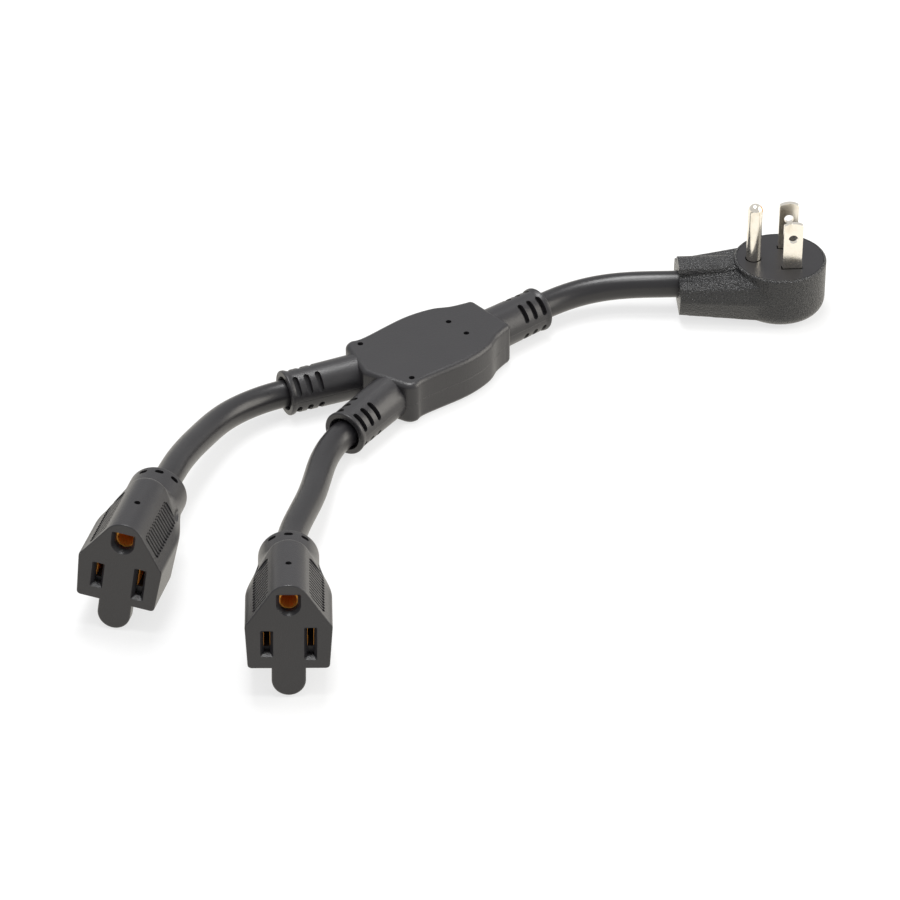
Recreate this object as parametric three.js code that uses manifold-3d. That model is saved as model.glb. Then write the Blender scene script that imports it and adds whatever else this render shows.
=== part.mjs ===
// A three-wire power cord splitter: one grounded plug, a moulded junction and two grounded sockets.
// Units are millimetres. +Z is up. The origin is the centre of the junction's flat underside,
// and +X runs along the junction towards the plug's cord.

import * as THREE from 'three';
import { mergeVertices } from 'three/addons/utils/BufferGeometryUtils.js';
import Module from 'manifold-3d';

const wasm = await Module();
wasm.setup();

// Clearances
const gap = 0.3;                    // between two pieces that touch
const overrun = 1;                  // how far a cutter runs past the wall that it opens

// Cord
const cordDiameter = 8.8;
const jacketWall = 0.8;
const wireDiameter = 2.4;           // one insulated conductor
const wireLay = 2;                  // from the cord's axis to each conductor's axis
const cordSides = 10;
const wireSides = 8;
const cordStep = 11;                // length of one straight facet of a cord
const wireTailSteps = 5;
const wireStub = 1;                 // a wire's tail starts this far inside the cord's end
const wireStraight = 1.5;           // and leaves the cord straight for this far
const wireLead = 2;                 // straight run of a wire before what it is joined to

// Junction block
const blockHeight = 14.7;
const blockEdgeRadius = 1.8;
const vertexX = -26.5;              // where the two socket-side faces meet
const shoulderX = -21;
const shoulderHalfWidth = 16.8;
const shoulderRadius = 3;
const waistX = -13.5;
const waistHalfWidth = 15.9;
const bellyX = 3;
const bellyHalfWidth = 16.7;
const taperX = 13.5;
const taperHalfWidth = 15;
const neckX = 19.5;
const neckHalfWidth = 12;
const throatX = 25;
const throatHalfWidth = 10.3;
const plugEndX = 27.3;
const plugEndHalfWidth = 9;
const plugEndRadius = 2.4;
const blockWall = 3;                // rubber over and under the wire space
const wireSpaceStart = -17.5;
const wireSpaceStartHalfWidth = 11.5;
const wireSpaceEndHalfWidth = 6.5;
const dimpleDiameter = 1.9;
const dimpleDepth = 1.2;
const dimpleSides = 12;
const rearDimpleX = -17.2;
const rearDimpleY = 12.8;
const frontDimpleX = 12.7;
const frontDimpleY = 4.4;

// Strain reliefs
const branchAngle = THREE.MathUtils.degToRad(16.2);
const branchRootX = -23.4;
const branchRootY = 8.2;
const branchReliefLength = 24.3;
const trunkReliefLength = 20;
const reliefRootRadius = 7.2;
const reliefMouthRadius = 6.9;
const reliefBeadRadius = 7.3;
const reliefBeadLength = 1.3;
const reliefFlare = 0.7;            // the bore opens by this much at the mouth
const reliefFlareLength = 3;
const reliefSides = 16;
const jacketHold = 8;               // jacket held inside the junction
const slotWidth = 1.85;
const slotSpan = THREE.MathUtils.degToRad(56);
const slotWeb = 0.8;                // rubber left under each slot
const slotPitch = 3.8;
const firstSlot = 2.7;
const slotsPerRow = 3;
const slotRows = 4;

// Crimps that join the wires inside the junction
const crimpStart = -1;
const crimpLength = 8;
const crimpWall = 0.6;
const crimpPitch = 5.4;

// Plug
const plugX = 116.58;
const plugY = -41.19;
const plugTurn = THREE.MathUtils.degToRad(-37.34);
const plugRadius = 15.2;
const plugHeight = 18.6;
const plugBottomRadius = 5;
const plugSides = 40;
const plugLength = 33.6;            // from the face's centre to the cord end
const plugCordHeight = 9.5;
const neckEndHalfWidth = 11.2;
const neckCorner = 1.2;             // how far the shoulders stand inside the parting width
const neckShoulderDrop = 4;         // parting to lower shoulder
const neckFlat = 0.45;              // flat part of the neck's underside, as a share of its half width
const neckShares = [1, 0.7, 0.45, 0.15];  // where the neck's rings lie, as shares of its length
const neckEndTop = 14.5;
const neckEndBottom = 1.6;
const neckRootTop = 17;
const partingHeight = 9.3;
const spineHalfWidth = 4.7;
const spineTop = 18.3;
const spineEdge = 1.4;
const plugHold = 11;                // jacket held inside the plug
const plugWireHalfWidth = 8;
const plugWireBottom = 5;
const plugWireTop = 13;

// Prong carrier and prongs
const carrierRadius = 14.2;
const carrierThickness = 4;
const carrierBossRadius = 12.2;
const carrierBossBottom = 11;
const bladeX = 3.07;
const bladeSpacing = 12.7;
const bladeWidth = 6.3;
const bladeThickness = 1.5;
const bladeLength = 17.1;
const bladeArch = 1;
const bladeHoleDiameter = 3.1;
const bladeHoleHeight = 11.2;
const groundSpacing = 11.9;         // from the blades' line to the ground prong
const groundDiameter = 4.8;
const groundLength = 20.6;
const groundSides = 20;
const prongTailBottom = 6.6;
const plugWireHeight = 8;

// Sockets: u runs right and w runs up on the face, and the body runs back along +Y
const socketHalfWidth = 12.8;
const socketFootHalfWidth = 12;
const socketBottom = -8.2;
const socketFootRadius = 1.8;
const archCentre = 12.1;
const archRadius = 6.4;
const slopeAngle = THREE.MathUtils.degToRad(54);
const tabHalfWidth = 5;
const tabBottom = -18.1;
const tabThickness = 4.2;
const socketAxis = 4.6;
const socketLength = 43;
const flankStart = 18;
const flankEnd = 38;
const crestStart = 25;
const crestEnd = 33.5;
const turnDepths = [22, 28, 31, 34.5];  // more rings where the body turns round
const outlineStep = 6;              // longest stretch of the face's outline
const collarRadius = 9.1;
const collarEdge = 0.7;
const socketFaceWall = 3;
const socketWall = 2.4;
const socketHold = 12;              // jacket held inside the socket
const slotSpacing = 12.7;
const faceSlotWidth = 1.9;
const lineSlotHeight = 6.7;
const neutralSlotHeight = 8.8;
const leadIn = 0.7;
const leadInDepth = 1.1;
const groundHoleHeight = 11.9;      // above the slots
const groundHoleWidth = 5.35;
const groundHoleRise = 5.2;
const topDimpleBack = 13.5;
const topDimpleSides = 10;
const ventWidth = 2.1;
const ventLength = 1.6;
const ventBack = 40.3;
const ventDepth = 1.5;
const ventTurn = THREE.MathUtils.degToRad(33);
const ribStart = 3.6;
const ribPitch = 1.2;
const ribCount = 16;
const ribWidth = 0.6;
const ribDepth = 0.55;
const ribMargin = 2.3;              // smooth strip left along the shoulder and the crest

// Contacts
const contactDepth = 13;
const contactThickness = 0.5;
const contactHeight = 6;
const contactMouth = 1.7;
const contactTailWidth = 1.6;
const contactTailLength = 4;
const contactBlockLength = 18;
const groundContactRadius = 2.5;
const contactSides = 12;

// Where the sockets lie: the middle between the slots, and the turns about Z, X and Y
const socketPlaces = {
  a: { x: -154.8, y: -42.2, turn: -52.4, lift: 4.7, roll: 7.7 },
  b: { x: -136.2, y: -99.4, turn: -38.5, lift: 7.5, roll: 1 },
};

// Free stretches of the cords, from just past each strain relief to just before the plug or socket
const freeRouteA = [
  [-57.9, 16.6, 7.8], [-65.5, 15.8, 8.6], [-72.7, 13.7, 9.7], [-79.6, 10.6, 10.9], [-86.3, 6.9, 12.3],
  [-93.2, 2.9, 13.9], [-99.6, -1.2, 15.3], [-105.7, -5.6, 16.7], [-111.7, -10.3, 17.8],
];
const freeRouteB = [
  [-57.2, -19.8, 7.7], [-63.2, -24.3, 8.3], [-68.7, -29.3, 9], [-74.2, -34.4, 10], [-79.5, -39, 11],
  [-85.4, -43.6, 12.1], [-91.3, -48.2, 13.3], [-97.1, -52.9, 14.5], [-102.5, -58, 15.6],
];
const freeRouteC = [
  [59.5, -1.1, 7.7], [67.2, -3.7, 8.2], [74.2, -7.7, 8.7], [80.5, -12.8, 9.2],
];
const straightRun = 4;              // each cord leaves and enters straight for at least this far

const cordRadius = cordDiameter / 2;
const boreRadius = cordRadius + gap;
const wireRadius = wireDiameter / 2;
const axisHeight = blockHeight / 2;
const wireSpaceEnd = plugEndX - jacketHold;

// Materials
const rubber = new THREE.MeshStandardMaterial({ color: 0x48474a, roughness: 0.55, metalness: 0 });
const facePlastic = new THREE.MeshStandardMaterial({ color: 0x38363a, roughness: 0.4, metalness: 0 });
const jacketVinyl = new THREE.MeshStandardMaterial({ color: 0x3c3b3d, roughness: 0.35, metalness: 0 });
const nickel = new THREE.MeshStandardMaterial({ color: 0xd8d2c4, roughness: 0.25, metalness: 1 });
const brass = new THREE.MeshStandardMaterial({ color: 0x9a6a2a, roughness: 0.35, metalness: 1 });
const copper = new THREE.MeshStandardMaterial({ color: 0xb87a4a, roughness: 0.4, metalness: 1 });
const blockNylon = new THREE.MeshStandardMaterial({ color: 0x2c2b2d, roughness: 0.6, metalness: 0 });
const wireVinyl = {
  line: new THREE.MeshStandardMaterial({ color: 0x1c1c1c, roughness: 0.5, metalness: 0 }),
  neutral: new THREE.MeshStandardMaterial({ color: 0xe6e4de, roughness: 0.5, metalness: 0 }),
  ground: new THREE.MeshStandardMaterial({ color: 0x2f7a3c, roughness: 0.5, metalness: 0 }),
};

// Solids

function solidOf(geometry) {
  const plain = geometry.clone();
  plain.deleteAttribute('normal');
  plain.deleteAttribute('uv');
  const merged = mergeVertices(plain, 1e-4);
  const corners = merged.index.array;
  const faces = [];
  for (let i = 0; i < corners.length; i += 3) {
    const [a, b, c] = [corners[i], corners[i + 1], corners[i + 2]];
    if (a !== b && b !== c && c !== a) faces.push(a, b, c);
  }
  const vertProperties = Float32Array.from(merged.attributes.position.array);
  return new wasm.Manifold(new wasm.Mesh({ numProp: 3, vertProperties, triVerts: Uint32Array.from(faces) }));
}

function geometryOf(solid) {
  const mesh = solid.getMesh();
  const geometry = new THREE.BufferGeometry();
  geometry.setAttribute('position', new THREE.BufferAttribute(Float32Array.from(mesh.vertProperties), 3));
  geometry.setIndex(new THREE.BufferAttribute(Uint32Array.from(mesh.triVerts), 1));
  const faceted = geometry.toNonIndexed();
  faceted.computeVertexNormals();
  return faceted;
}

const joined = (...geometries) => geometries.map(solidOf).reduce((sum, next) => sum.add(next));

const cut = (solid, cutters) => cutters.reduce((rest, cutter) => rest.subtract(solidOf(cutter)), solid);

// A turned piece about +Z; the profile lists radius and height pairs, counter-clockwise.
// A profile that doesn't start on the axis is a ring, and closes on its first point.
function turned(profile, sides) {
  const loop = profile[0][0] > 0 ? [...profile, profile[0]] : profile;
  const points = loop.map(([radius, height]) => new THREE.Vector2(radius, height));
  return new THREE.LatheGeometry(points, sides).rotateX(Math.PI / 2);
}

const rod = (radius, from, to, sides) =>
  turned([[0, from], [radius, from], [radius, to], [0, to]], sides);

// The same, lying along +X
const lying = (geometry) => geometry.rotateY(Math.PI / 2);

function block(low, high) {
  const [x, y, z] = [0, 1, 2].map((i) => high[i] - low[i]);
  const [cx, cy, cz] = [0, 1, 2].map((i) => (high[i] + low[i]) / 2);
  return new THREE.BoxGeometry(x, y, z).translate(cx, cy, cz);
}

// A closed skin over rings of equally many points, which run anticlockwise seen from the last ring
function lofted(rings) {
  const count = rings[0].length;
  const positions = rings.flat().flatMap((point) => [point.x, point.y, point.z]);
  const faces = [];
  for (let r = 0; r + 1 < rings.length; r += 1) {
    for (let i = 0; i < count; i += 1) {
      const j = (i + 1) % count;
      const [a, b, c, d] = [r * count + i, r * count + j, (r + 1) * count + j, (r + 1) * count + i];
      faces.push(a, b, c, a, c, d);
    }
  }
  const capped = (ring, offset, flip) => {
    const middle = ring.reduce((sum, point) => sum.add(point), new THREE.Vector3()).divideScalar(count);
    const hub = positions.length / 3;
    positions.push(middle.x, middle.y, middle.z);
    for (let i = 0; i < count; i += 1) {
      const j = (i + 1) % count;
      if (flip) faces.push(hub, offset + j, offset + i);
      else faces.push(hub, offset + i, offset + j);
    }
  };
  capped(rings[0], 0, true);
  capped(rings[rings.length - 1], (rings.length - 1) * count, false);
  const geometry = new THREE.BufferGeometry();
  geometry.setAttribute('position', new THREE.Float32BufferAttribute(positions, 3));
  geometry.setIndex(faces);
  return geometry;
}

function swept(path, steps, shape, sides) {
  return new THREE.ExtrudeGeometry(shape, { extrudePath: path, steps, curveSegments: sides / 2 });
}

function disc(radius, x = 0, y = 0) {
  const shape = new THREE.Shape();
  shape.absarc(x, y, radius, 0, 2 * Math.PI, false);
  return shape;
}

// An axial slot cutter for a tube along +X: rounded ends, one flat floor, cut from outside
function slotCutter(width, length, floor, top, x, turn) {
  const half = length / 2 - width / 2;
  const shape = new THREE.Shape();
  shape.absarc(0, half, width / 2, 0, Math.PI, false);
  shape.absarc(0, -half, width / 2, Math.PI, 2 * Math.PI, false);
  const depth = top - floor;
  const cutter = new THREE.ExtrudeGeometry(shape, { depth, bevelEnabled: false, curveSegments: 1 });
  return cutter.translate(x, 0, floor).rotateX(turn);
}

// Junction

const model = new THREE.Group();

function addPiece(name, geometry, material, parent = model) {
  const piece = new THREE.Mesh(geometry, material);
  piece.name = name;
  parent.add(piece);
  return piece;
}

function junctionOutline() {
  const slope = (shoulderX - vertexX) / shoulderHalfWidth;
  const side = [
    [shoulderX + shoulderRadius, shoulderHalfWidth], [waistX, waistHalfWidth], [bellyX, bellyHalfWidth],
    [taperX, taperHalfWidth], [neckX, neckHalfWidth], [throatX, throatHalfWidth],
  ].map(([x, y]) => new THREE.Vector2(x, y));
  const mirrored = side.map((point) => new THREE.Vector2(point.x, -point.y)).reverse();
  const facetEnd = shoulderHalfWidth - shoulderRadius;
  const facetEndX = vertexX + slope * facetEnd;
  const cornerLow = plugEndHalfWidth - plugEndRadius / 2;
  const cornerHigh = plugEndHalfWidth + plugEndRadius / 2;
  const outline = new THREE.Shape();
  outline.moveTo(vertexX, 0);
  outline.lineTo(facetEndX, -facetEnd);
  outline.quadraticCurveTo(shoulderX, -shoulderHalfWidth, mirrored.at(-1).x, mirrored.at(-1).y);
  outline.splineThru(mirrored.slice(0, -1).reverse());
  outline.quadraticCurveTo(plugEndX, -cornerHigh, plugEndX, -cornerLow);
  outline.lineTo(plugEndX, cornerLow);
  outline.quadraticCurveTo(plugEndX, cornerHigh, throatX, throatHalfWidth);
  outline.splineThru(side.slice(0, -1).reverse());
  outline.quadraticCurveTo(shoulderX, shoulderHalfWidth, facetEndX, facetEnd);
  outline.lineTo(vertexX, 0);
  return outline;
}

// The three places where a cord enters the junction: a point on its face and the way out
const entries = {
  a: { x: branchRootX, y: branchRootY, heading: Math.PI - branchAngle, length: branchReliefLength },
  b: { x: branchRootX, y: -branchRootY, heading: branchAngle - Math.PI, length: branchReliefLength },
  c: { x: plugEndX, y: 0, heading: 0, length: trunkReliefLength },
};

const entryPlace = (entry) => new THREE.Matrix4()
  .makeRotationZ(entry.heading)
  .setPosition(entry.x, entry.y, axisHeight);

function relief(entry) {
  const inside = -jacketHold / 2;
  const profile = [
    [boreRadius, inside], [reliefRootRadius, inside],
    [reliefMouthRadius, entry.length - 2 * reliefBeadLength],
    [reliefBeadRadius, entry.length - reliefBeadLength], [reliefBeadRadius, entry.length - gap],
    [reliefBeadRadius - gap, entry.length], [boreRadius + reliefFlare, entry.length],
    [boreRadius, entry.length - reliefFlareLength],
  ];
  return lying(turned(profile, reliefSides)).applyMatrix4(entryPlace(entry));
}

function reliefCutters(entry) {
  const boreEnd = entry.length - reliefFlareLength;
  const cutters = [lying(rod(boreRadius, -jacketHold - overrun, boreEnd, reliefSides))];
  const floor = boreRadius + slotWeb;
  const length = 2 * reliefRootRadius * Math.sin(slotSpan / 2);
  for (let row = 0; row < slotRows; row += 1) {
    const turn = ((row + 0.5) * 2 * Math.PI) / slotRows;
    for (let slot = 0; slot < slotsPerRow; slot += 1) {
      const x = entry.length - firstSlot - slot * slotPitch;
      cutters.push(slotCutter(slotWidth, length, floor, reliefBeadRadius + overrun, x, turn));
    }
  }
  return cutters.map((cutter) => cutter.applyMatrix4(entryPlace(entry)));
}

function wireSpace() {
  const outline = new THREE.Shape();
  outline.moveTo(wireSpaceStart, -wireSpaceStartHalfWidth);
  outline.lineTo(wireSpaceEnd, -wireSpaceEndHalfWidth);
  outline.lineTo(wireSpaceEnd, wireSpaceEndHalfWidth);
  outline.lineTo(wireSpaceStart, wireSpaceStartHalfWidth);
  const depth = blockHeight - 2 * blockWall;
  const space = new THREE.ExtrudeGeometry(outline, { depth, bevelEnabled: false });
  return space.translate(0, 0, blockWall);
}

function junctionBlock() {
  return new THREE.ExtrudeGeometry(junctionOutline(), {
    depth: blockHeight - 2 * blockEdgeRadius,
    bevelEnabled: true,
    bevelThickness: blockEdgeRadius,
    bevelSize: blockEdgeRadius,
    bevelOffset: -blockEdgeRadius,
    bevelSegments: 3,
    curveSegments: 3,
  }).translate(0, 0, blockEdgeRadius);
}

function junctionDimples() {
  const spots = [
    [rearDimpleX, rearDimpleY], [rearDimpleX, -rearDimpleY],
    [frontDimpleX, frontDimpleY], [frontDimpleX, -frontDimpleY],
  ];
  return spots.map(([x, y]) =>
    rod(dimpleDiameter / 2, blockHeight - dimpleDepth, blockHeight + overrun, dimpleSides).translate(x, y, 0));
}

const junctionSkin = joined(junctionBlock(), ...Object.values(entries).map(relief));
const junction = cut(junctionSkin, [
  wireSpace(), ...Object.values(entries).flatMap(reliefCutters), ...junctionDimples(),
]);
addPiece('hub_overmould', geometryOf(junction), rubber);

// Crimps: flat tubes along +X, with the two socket wires on the left and the plug's wire on the right

const crimpSlotWidth = wireDiameter + 2 * gap;
const crimpSlotHeight = 2 * wireDiameter + 3 * gap;
const crimpStack = (wireDiameter + gap) / 2;
const crimpRows = { line: crimpPitch, ground: 0, neutral: -crimpPitch };

function flatTubeShape(width, height) {
  const half = (height - width) / 2;
  const shape = new THREE.Shape();
  shape.absarc(0, half, width / 2, 0, Math.PI, false);
  shape.absarc(0, -half, width / 2, Math.PI, 2 * Math.PI, false);
  return shape;
}

for (const [name, y] of Object.entries(crimpRows)) {
  const shape = flatTubeShape(crimpSlotWidth + 2 * crimpWall, crimpSlotHeight + 2 * crimpWall);
  shape.holes.push(flatTubeShape(crimpSlotWidth, crimpSlotHeight));
  const barrel = new THREE.ExtrudeGeometry(shape, {
    depth: crimpLength,
    bevelEnabled: false,
    curveSegments: 3,
  });
  barrel.rotateX(Math.PI / 2).rotateZ(Math.PI / 2);
  addPiece(`crimp_${name}`, barrel, copper).position.set(crimpStart, y, axisHeight);
}

// Plug, with its own origin under the face's centre and the cord end towards its own -X

const plug = new THREE.Group();
plug.position.set(plugX, plugY, 0);
plug.rotation.z = plugTurn;
model.add(plug);

// Rounded flattened hexagon across the neck at one distance from the face's centre
function neckRing(distance) {
  const along = distance / plugLength;
  const half = THREE.MathUtils.lerp(plugRadius, neckEndHalfWidth, along);
  const top = THREE.MathUtils.lerp(neckRootTop + (plugHeight - neckRootTop) / 2, neckEndTop, along);
  const bottom = neckEndBottom * along;
  const shoulderTop = THREE.MathUtils.lerp(top - neckCorner, partingHeight + neckShoulderDrop, along);
  const shoulderBottom = partingHeight - neckShoulderDrop;
  const right = [
    [half * neckFlat, bottom], [half - 2 * neckCorner, (bottom + shoulderBottom) / 2 - neckCorner],
    [half - neckCorner, shoulderBottom], [half, partingHeight],
    [half - neckCorner, shoulderTop], [half - 3 * neckCorner, top], [spineHalfWidth, top],
  ];
  const left = right.map(([y, z]) => [-y, z]).reverse();
  return [...right, ...left].map(([y, z]) => new THREE.Vector3(-distance, y, z));
}

function plugSpine() {
  const shape = new THREE.Shape();
  const low = partingHeight;
  shape.moveTo(-spineHalfWidth, low);
  shape.lineTo(spineHalfWidth, low);
  shape.lineTo(spineHalfWidth, spineTop - spineEdge);
  shape.quadraticCurveTo(spineHalfWidth, spineTop, spineHalfWidth - spineEdge, spineTop);
  shape.lineTo(-spineHalfWidth + spineEdge, spineTop);
  shape.quadraticCurveTo(-spineHalfWidth, spineTop, -spineHalfWidth, spineTop - spineEdge);
  const length = plugLength - plugRadius / 2;
  const spine = new THREE.ExtrudeGeometry(shape, { depth: length, bevelEnabled: false, curveSegments: 3 });
  return spine.rotateX(Math.PI / 2).rotateZ(Math.PI / 2).translate(-plugLength, 0, 0);
}

function plugDisc() {
  const profile = [[0, 0]];
  const turns = 5;
  for (let i = 0; i <= turns; i += 1) {
    const angle = (i / turns) * (Math.PI / 2);
    const centre = plugRadius - plugBottomRadius;
    profile.push([centre + plugBottomRadius * Math.sin(angle), plugBottomRadius * (1 - Math.cos(angle))]);
  }
  profile.push([plugRadius, plugHeight - gap], [plugRadius - gap, plugHeight], [0, plugHeight]);
  return turned(profile, plugSides);
}

const carrierFloor = plugHeight - carrierThickness;
const neckRings = neckShares.map((share) => neckRing(share * plugLength));
const jacketStop = -plugLength + plugHold;
const plugSolid = cut(joined(plugDisc(), lofted(neckRings), plugSpine()), [
  rod(carrierRadius + gap, carrierFloor - gap, plugHeight + overrun, plugSides),
  rod(carrierBossRadius + gap, plugWireBottom, carrierFloor, plugSides / 2),
  block([jacketStop - overrun, -plugWireHalfWidth, plugWireBottom], [0, plugWireHalfWidth, plugWireTop]),
  lying(rod(boreRadius, -plugLength - overrun, jacketStop, reliefSides)).translate(0, 0, plugCordHeight),
]);
addPiece('plug_body', geometryOf(plugSolid), rubber, plug);

function bladeOutline(grow = 0) {
  const half = bladeWidth / 2 + grow;
  const top = plugHeight + bladeLength - bladeArch + grow;
  const shape = new THREE.Shape();
  shape.moveTo(-half, prongTailBottom - grow);
  shape.lineTo(half, prongTailBottom - grow);
  shape.lineTo(half, top - bladeArch);
  shape.quadraticCurveTo(half, top, half - bladeArch, top + bladeArch / 2);
  shape.quadraticCurveTo(0, top + 1.5 * bladeArch, -half + bladeArch, top + bladeArch / 2);
  shape.quadraticCurveTo(-half, top, -half, top - bladeArch);
  return shape;
}

function blade(grow, withHole) {
  const shape = bladeOutline(grow);
  if (withHole) shape.holes.push(disc(bladeHoleDiameter / 2, 0, plugHeight + bladeHoleHeight));
  const depth = bladeThickness + 2 * grow;
  const flat = new THREE.ExtrudeGeometry(shape, { depth, bevelEnabled: false, curveSegments: 6 });
  return flat.translate(0, 0, -depth / 2).rotateX(Math.PI / 2);
}

const groundX = bladeX - groundSpacing;
const bladeY = bladeSpacing / 2;

function groundProng(grow = 0) {
  const radius = groundDiameter / 2 + grow;
  const top = plugHeight + groundLength;
  const profile = [[0, prongTailBottom], [radius, prongTailBottom]];
  const turns = 4;
  for (let i = 0; i < turns; i += 1) {
    const angle = (i / turns) * (Math.PI / 2);
    profile.push([radius * Math.cos(angle), top - radius + radius * Math.sin(angle)]);
  }
  profile.push([0, top]);
  return turned(profile, groundSides).translate(groundX, 0, 0);
}

const carrier = cut(
  joined(
    rod(carrierRadius, carrierFloor, plugHeight, plugSides),
    rod(carrierBossRadius, carrierBossBottom, carrierFloor + overrun, plugSides / 2),
  ),
  [
    blade(gap, false).translate(bladeX, bladeY, 0),
    blade(gap, false).translate(bladeX, -bladeY, 0),
    groundProng(gap),
  ],
);
addPiece('prong_carrier', geometryOf(carrier), facePlastic, plug);
addPiece('blade_line', blade(0, true), nickel, plug).position.set(bladeX, bladeY, 0);
addPiece('blade_neutral', blade(0, true), nickel, plug).position.set(bladeX, -bladeY, 0);
addPiece('ground_prong', groundProng(), nickel, plug);

// Sockets, each with its own origin midway between the slots and its body running back along +Y

const slopeNormal = new THREE.Vector2(Math.sin(slopeAngle), Math.cos(slopeAngle));
const slopeReach = slopeNormal.y * archCentre + archRadius;
const shoulderRise = (slopeReach - slopeNormal.x * socketHalfWidth) / slopeNormal.y;
const crestRise = archCentre + archRadius * slopeNormal.y;
const socketTop = archCentre + archRadius;

// The face's outline without its tab, drawn in by the same amount all round
function faceOutline(inset) {
  const half = socketHalfWidth - inset;
  const foot = socketFootHalfWidth - inset;
  const bottom = socketBottom + inset;
  const radius = archRadius - inset;
  const shoulder = (slopeReach - inset - slopeNormal.x * half) / slopeNormal.y;
  const corner = Math.min(socketFootRadius, foot / 2);
  const shape = new THREE.Shape();
  shape.moveTo(foot - corner, bottom);
  shape.quadraticCurveTo(foot, bottom, foot, bottom + corner);
  shape.lineTo(half, shoulder);
  shape.lineTo(radius * slopeNormal.x, archCentre + radius * slopeNormal.y);
  shape.absarc(0, archCentre, radius, Math.PI / 2 - slopeAngle, Math.PI / 2 + slopeAngle, false);
  shape.lineTo(-half, shoulder);
  shape.lineTo(-foot, bottom + corner);
  shape.quadraticCurveTo(-foot, bottom, -foot + corner, bottom);
  return shape;
}

// The outline's points, with the long edges divided so that they can turn into a round collar
function facePoints(inset) {
  const corners = faceOutline(inset).getPoints(4);
  return corners.flatMap((point, i) => {
    const next = corners[(i + 1) % corners.length];
    const pieces = Math.ceil(point.distanceTo(next) / outlineStep);
    return Array.from({ length: pieces }, (_, k) => point.clone().lerp(next, k / pieces));
  }).filter((point, i, all) => point.distanceTo(all[(i + 1) % all.length]) > 0.01);
}

// The same points at one depth: how far each has turned from the outline into the round collar
function bodyRing(points, back, radius, turnedBy) {
  const centre = new THREE.Vector2(0, socketAxis);
  return points.map((point) => {
    const round = point.clone().sub(centre).setLength(radius).add(centre);
    const place = point.clone().lerp(round, turnedBy(point));
    return new THREE.Vector3(place.x, back, place.y);
  }).reverse();
}

// 0 on the flanks, 1 on the crest, whose full height runs further back
const crestShare = (point) =>
  THREE.MathUtils.clamp((point.y - shoulderRise) / (crestRise - shoulderRise), 0, 1);

function socketSkin() {
  const points = facePoints(0);
  const turnedAt = (back) => (point) => {
    const share = crestShare(point);
    const start = THREE.MathUtils.lerp(flankStart, crestStart, share);
    const end = THREE.MathUtils.lerp(flankEnd, crestEnd, share);
    return THREE.MathUtils.smoothstep(back, start, end);
  };
  const backs = [0, flankStart, ...turnDepths, crestStart, flankEnd].sort((a, b) => a - b);
  const rings = backs.map((back) => bodyRing(points, back, collarRadius, turnedAt(back)));
  rings.push(bodyRing(points, socketLength - collarEdge, collarRadius, () => 1));
  rings.push(bodyRing(points, socketLength, collarRadius - collarEdge, () => 1));
  return lofted(rings);
}

function tab() {
  const shape = new THREE.Shape();
  const arcCentre = tabBottom + tabHalfWidth;
  shape.moveTo(tabHalfWidth, socketBottom + socketFaceWall);
  shape.lineTo(-tabHalfWidth, socketBottom + socketFaceWall);
  shape.lineTo(-tabHalfWidth, arcCentre);
  shape.absarc(0, arcCentre, tabHalfWidth, Math.PI, 2 * Math.PI, false);
  const plate = new THREE.ExtrudeGeometry(shape, {
    depth: tabThickness,
    bevelEnabled: false,
    curveSegments: 6,
  });
  return plate.rotateX(Math.PI / 2).translate(0, tabThickness, 0);
}

// A tapering cutter through the face wall from one outline, grown at the mouth for the lead-in
function faceCutter(outlineOf) {
  const mouth = leadIn * (1 + overrun / leadInDepth);
  const sections = [[-overrun, mouth], [leadInDepth, 0], [socketFaceWall + overrun, 0]];
  return lofted(sections.map(([back, grow]) =>
    outlineOf(grow).map((point) => new THREE.Vector3(point.x, back, point.y)).reverse()));
}

const slotOutline = (u, height) => (grow) => {
  const [half, rise] = [faceSlotWidth / 2 + grow, height / 2 + grow];
  const corners = [[-half, -rise], [half, -rise], [half, rise], [-half, rise]];
  return corners.map(([x, y]) => new THREE.Vector2(u + x, y));
};

function groundOutline(grow) {
  const half = groundHoleWidth / 2 + grow;
  const top = groundHoleHeight + groundHoleRise / 2 + grow;
  const arc = new THREE.Shape();
  const centre = groundHoleHeight + (groundHoleWidth - groundHoleRise) / 2;
  arc.absarc(0, centre, half, Math.PI, 2 * Math.PI, false);
  return [new THREE.Vector2(half, top), new THREE.Vector2(-half, top), ...arc.getPoints(5)];
}

const contactStart = socketFaceWall + gap;
const contactEnd = contactStart + contactDepth;
const tailEnd = contactEnd + contactTailLength;
const blockEnd = contactStart + contactBlockLength;
const slotU = slotSpacing / 2;

function socketHollow() {
  const points = facePoints(socketWall);
  const backs = [socketFaceWall, blockEnd + gap, socketLength - socketHold];
  return lofted([
    bodyRing(points, backs[0], boreRadius, () => 0),
    bodyRing(points, backs[1], boreRadius, () => 0),
    bodyRing(points, backs[2], boreRadius, () => 1),
  ]);
}

function ribCutters() {
  const slopeLength = Math.hypot(socketHalfWidth - archRadius * slopeNormal.x, crestRise - shoulderRise);
  const middle = new THREE.Vector2(
    (socketHalfWidth + archRadius * slopeNormal.x) / 2, (shoulderRise + crestRise) / 2);
  const cutters = [];
  for (const side of [-1, 1]) {
    for (let rib = 0; rib < ribCount; rib += 1) {
      const groove = new THREE.BoxGeometry(slopeLength - 2 * ribMargin, ribWidth, 2 * ribDepth);
      groove.rotateY(side * slopeAngle);
      cutters.push(groove.translate(side * middle.x, ribStart + rib * ribPitch, middle.y));
    }
  }
  return cutters;
}

function ventCutters() {
  return [-ventTurn, 0, ventTurn].map((turn) => {
    const vent = new THREE.BoxGeometry(ventWidth, ventLength, 2 * ventDepth).translate(0, 0, collarRadius);
    return vent.rotateY(turn).translate(0, ventBack, socketAxis);
  });
}

const backwards = (geometry) => geometry.rotateX(-Math.PI / 2);

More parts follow.
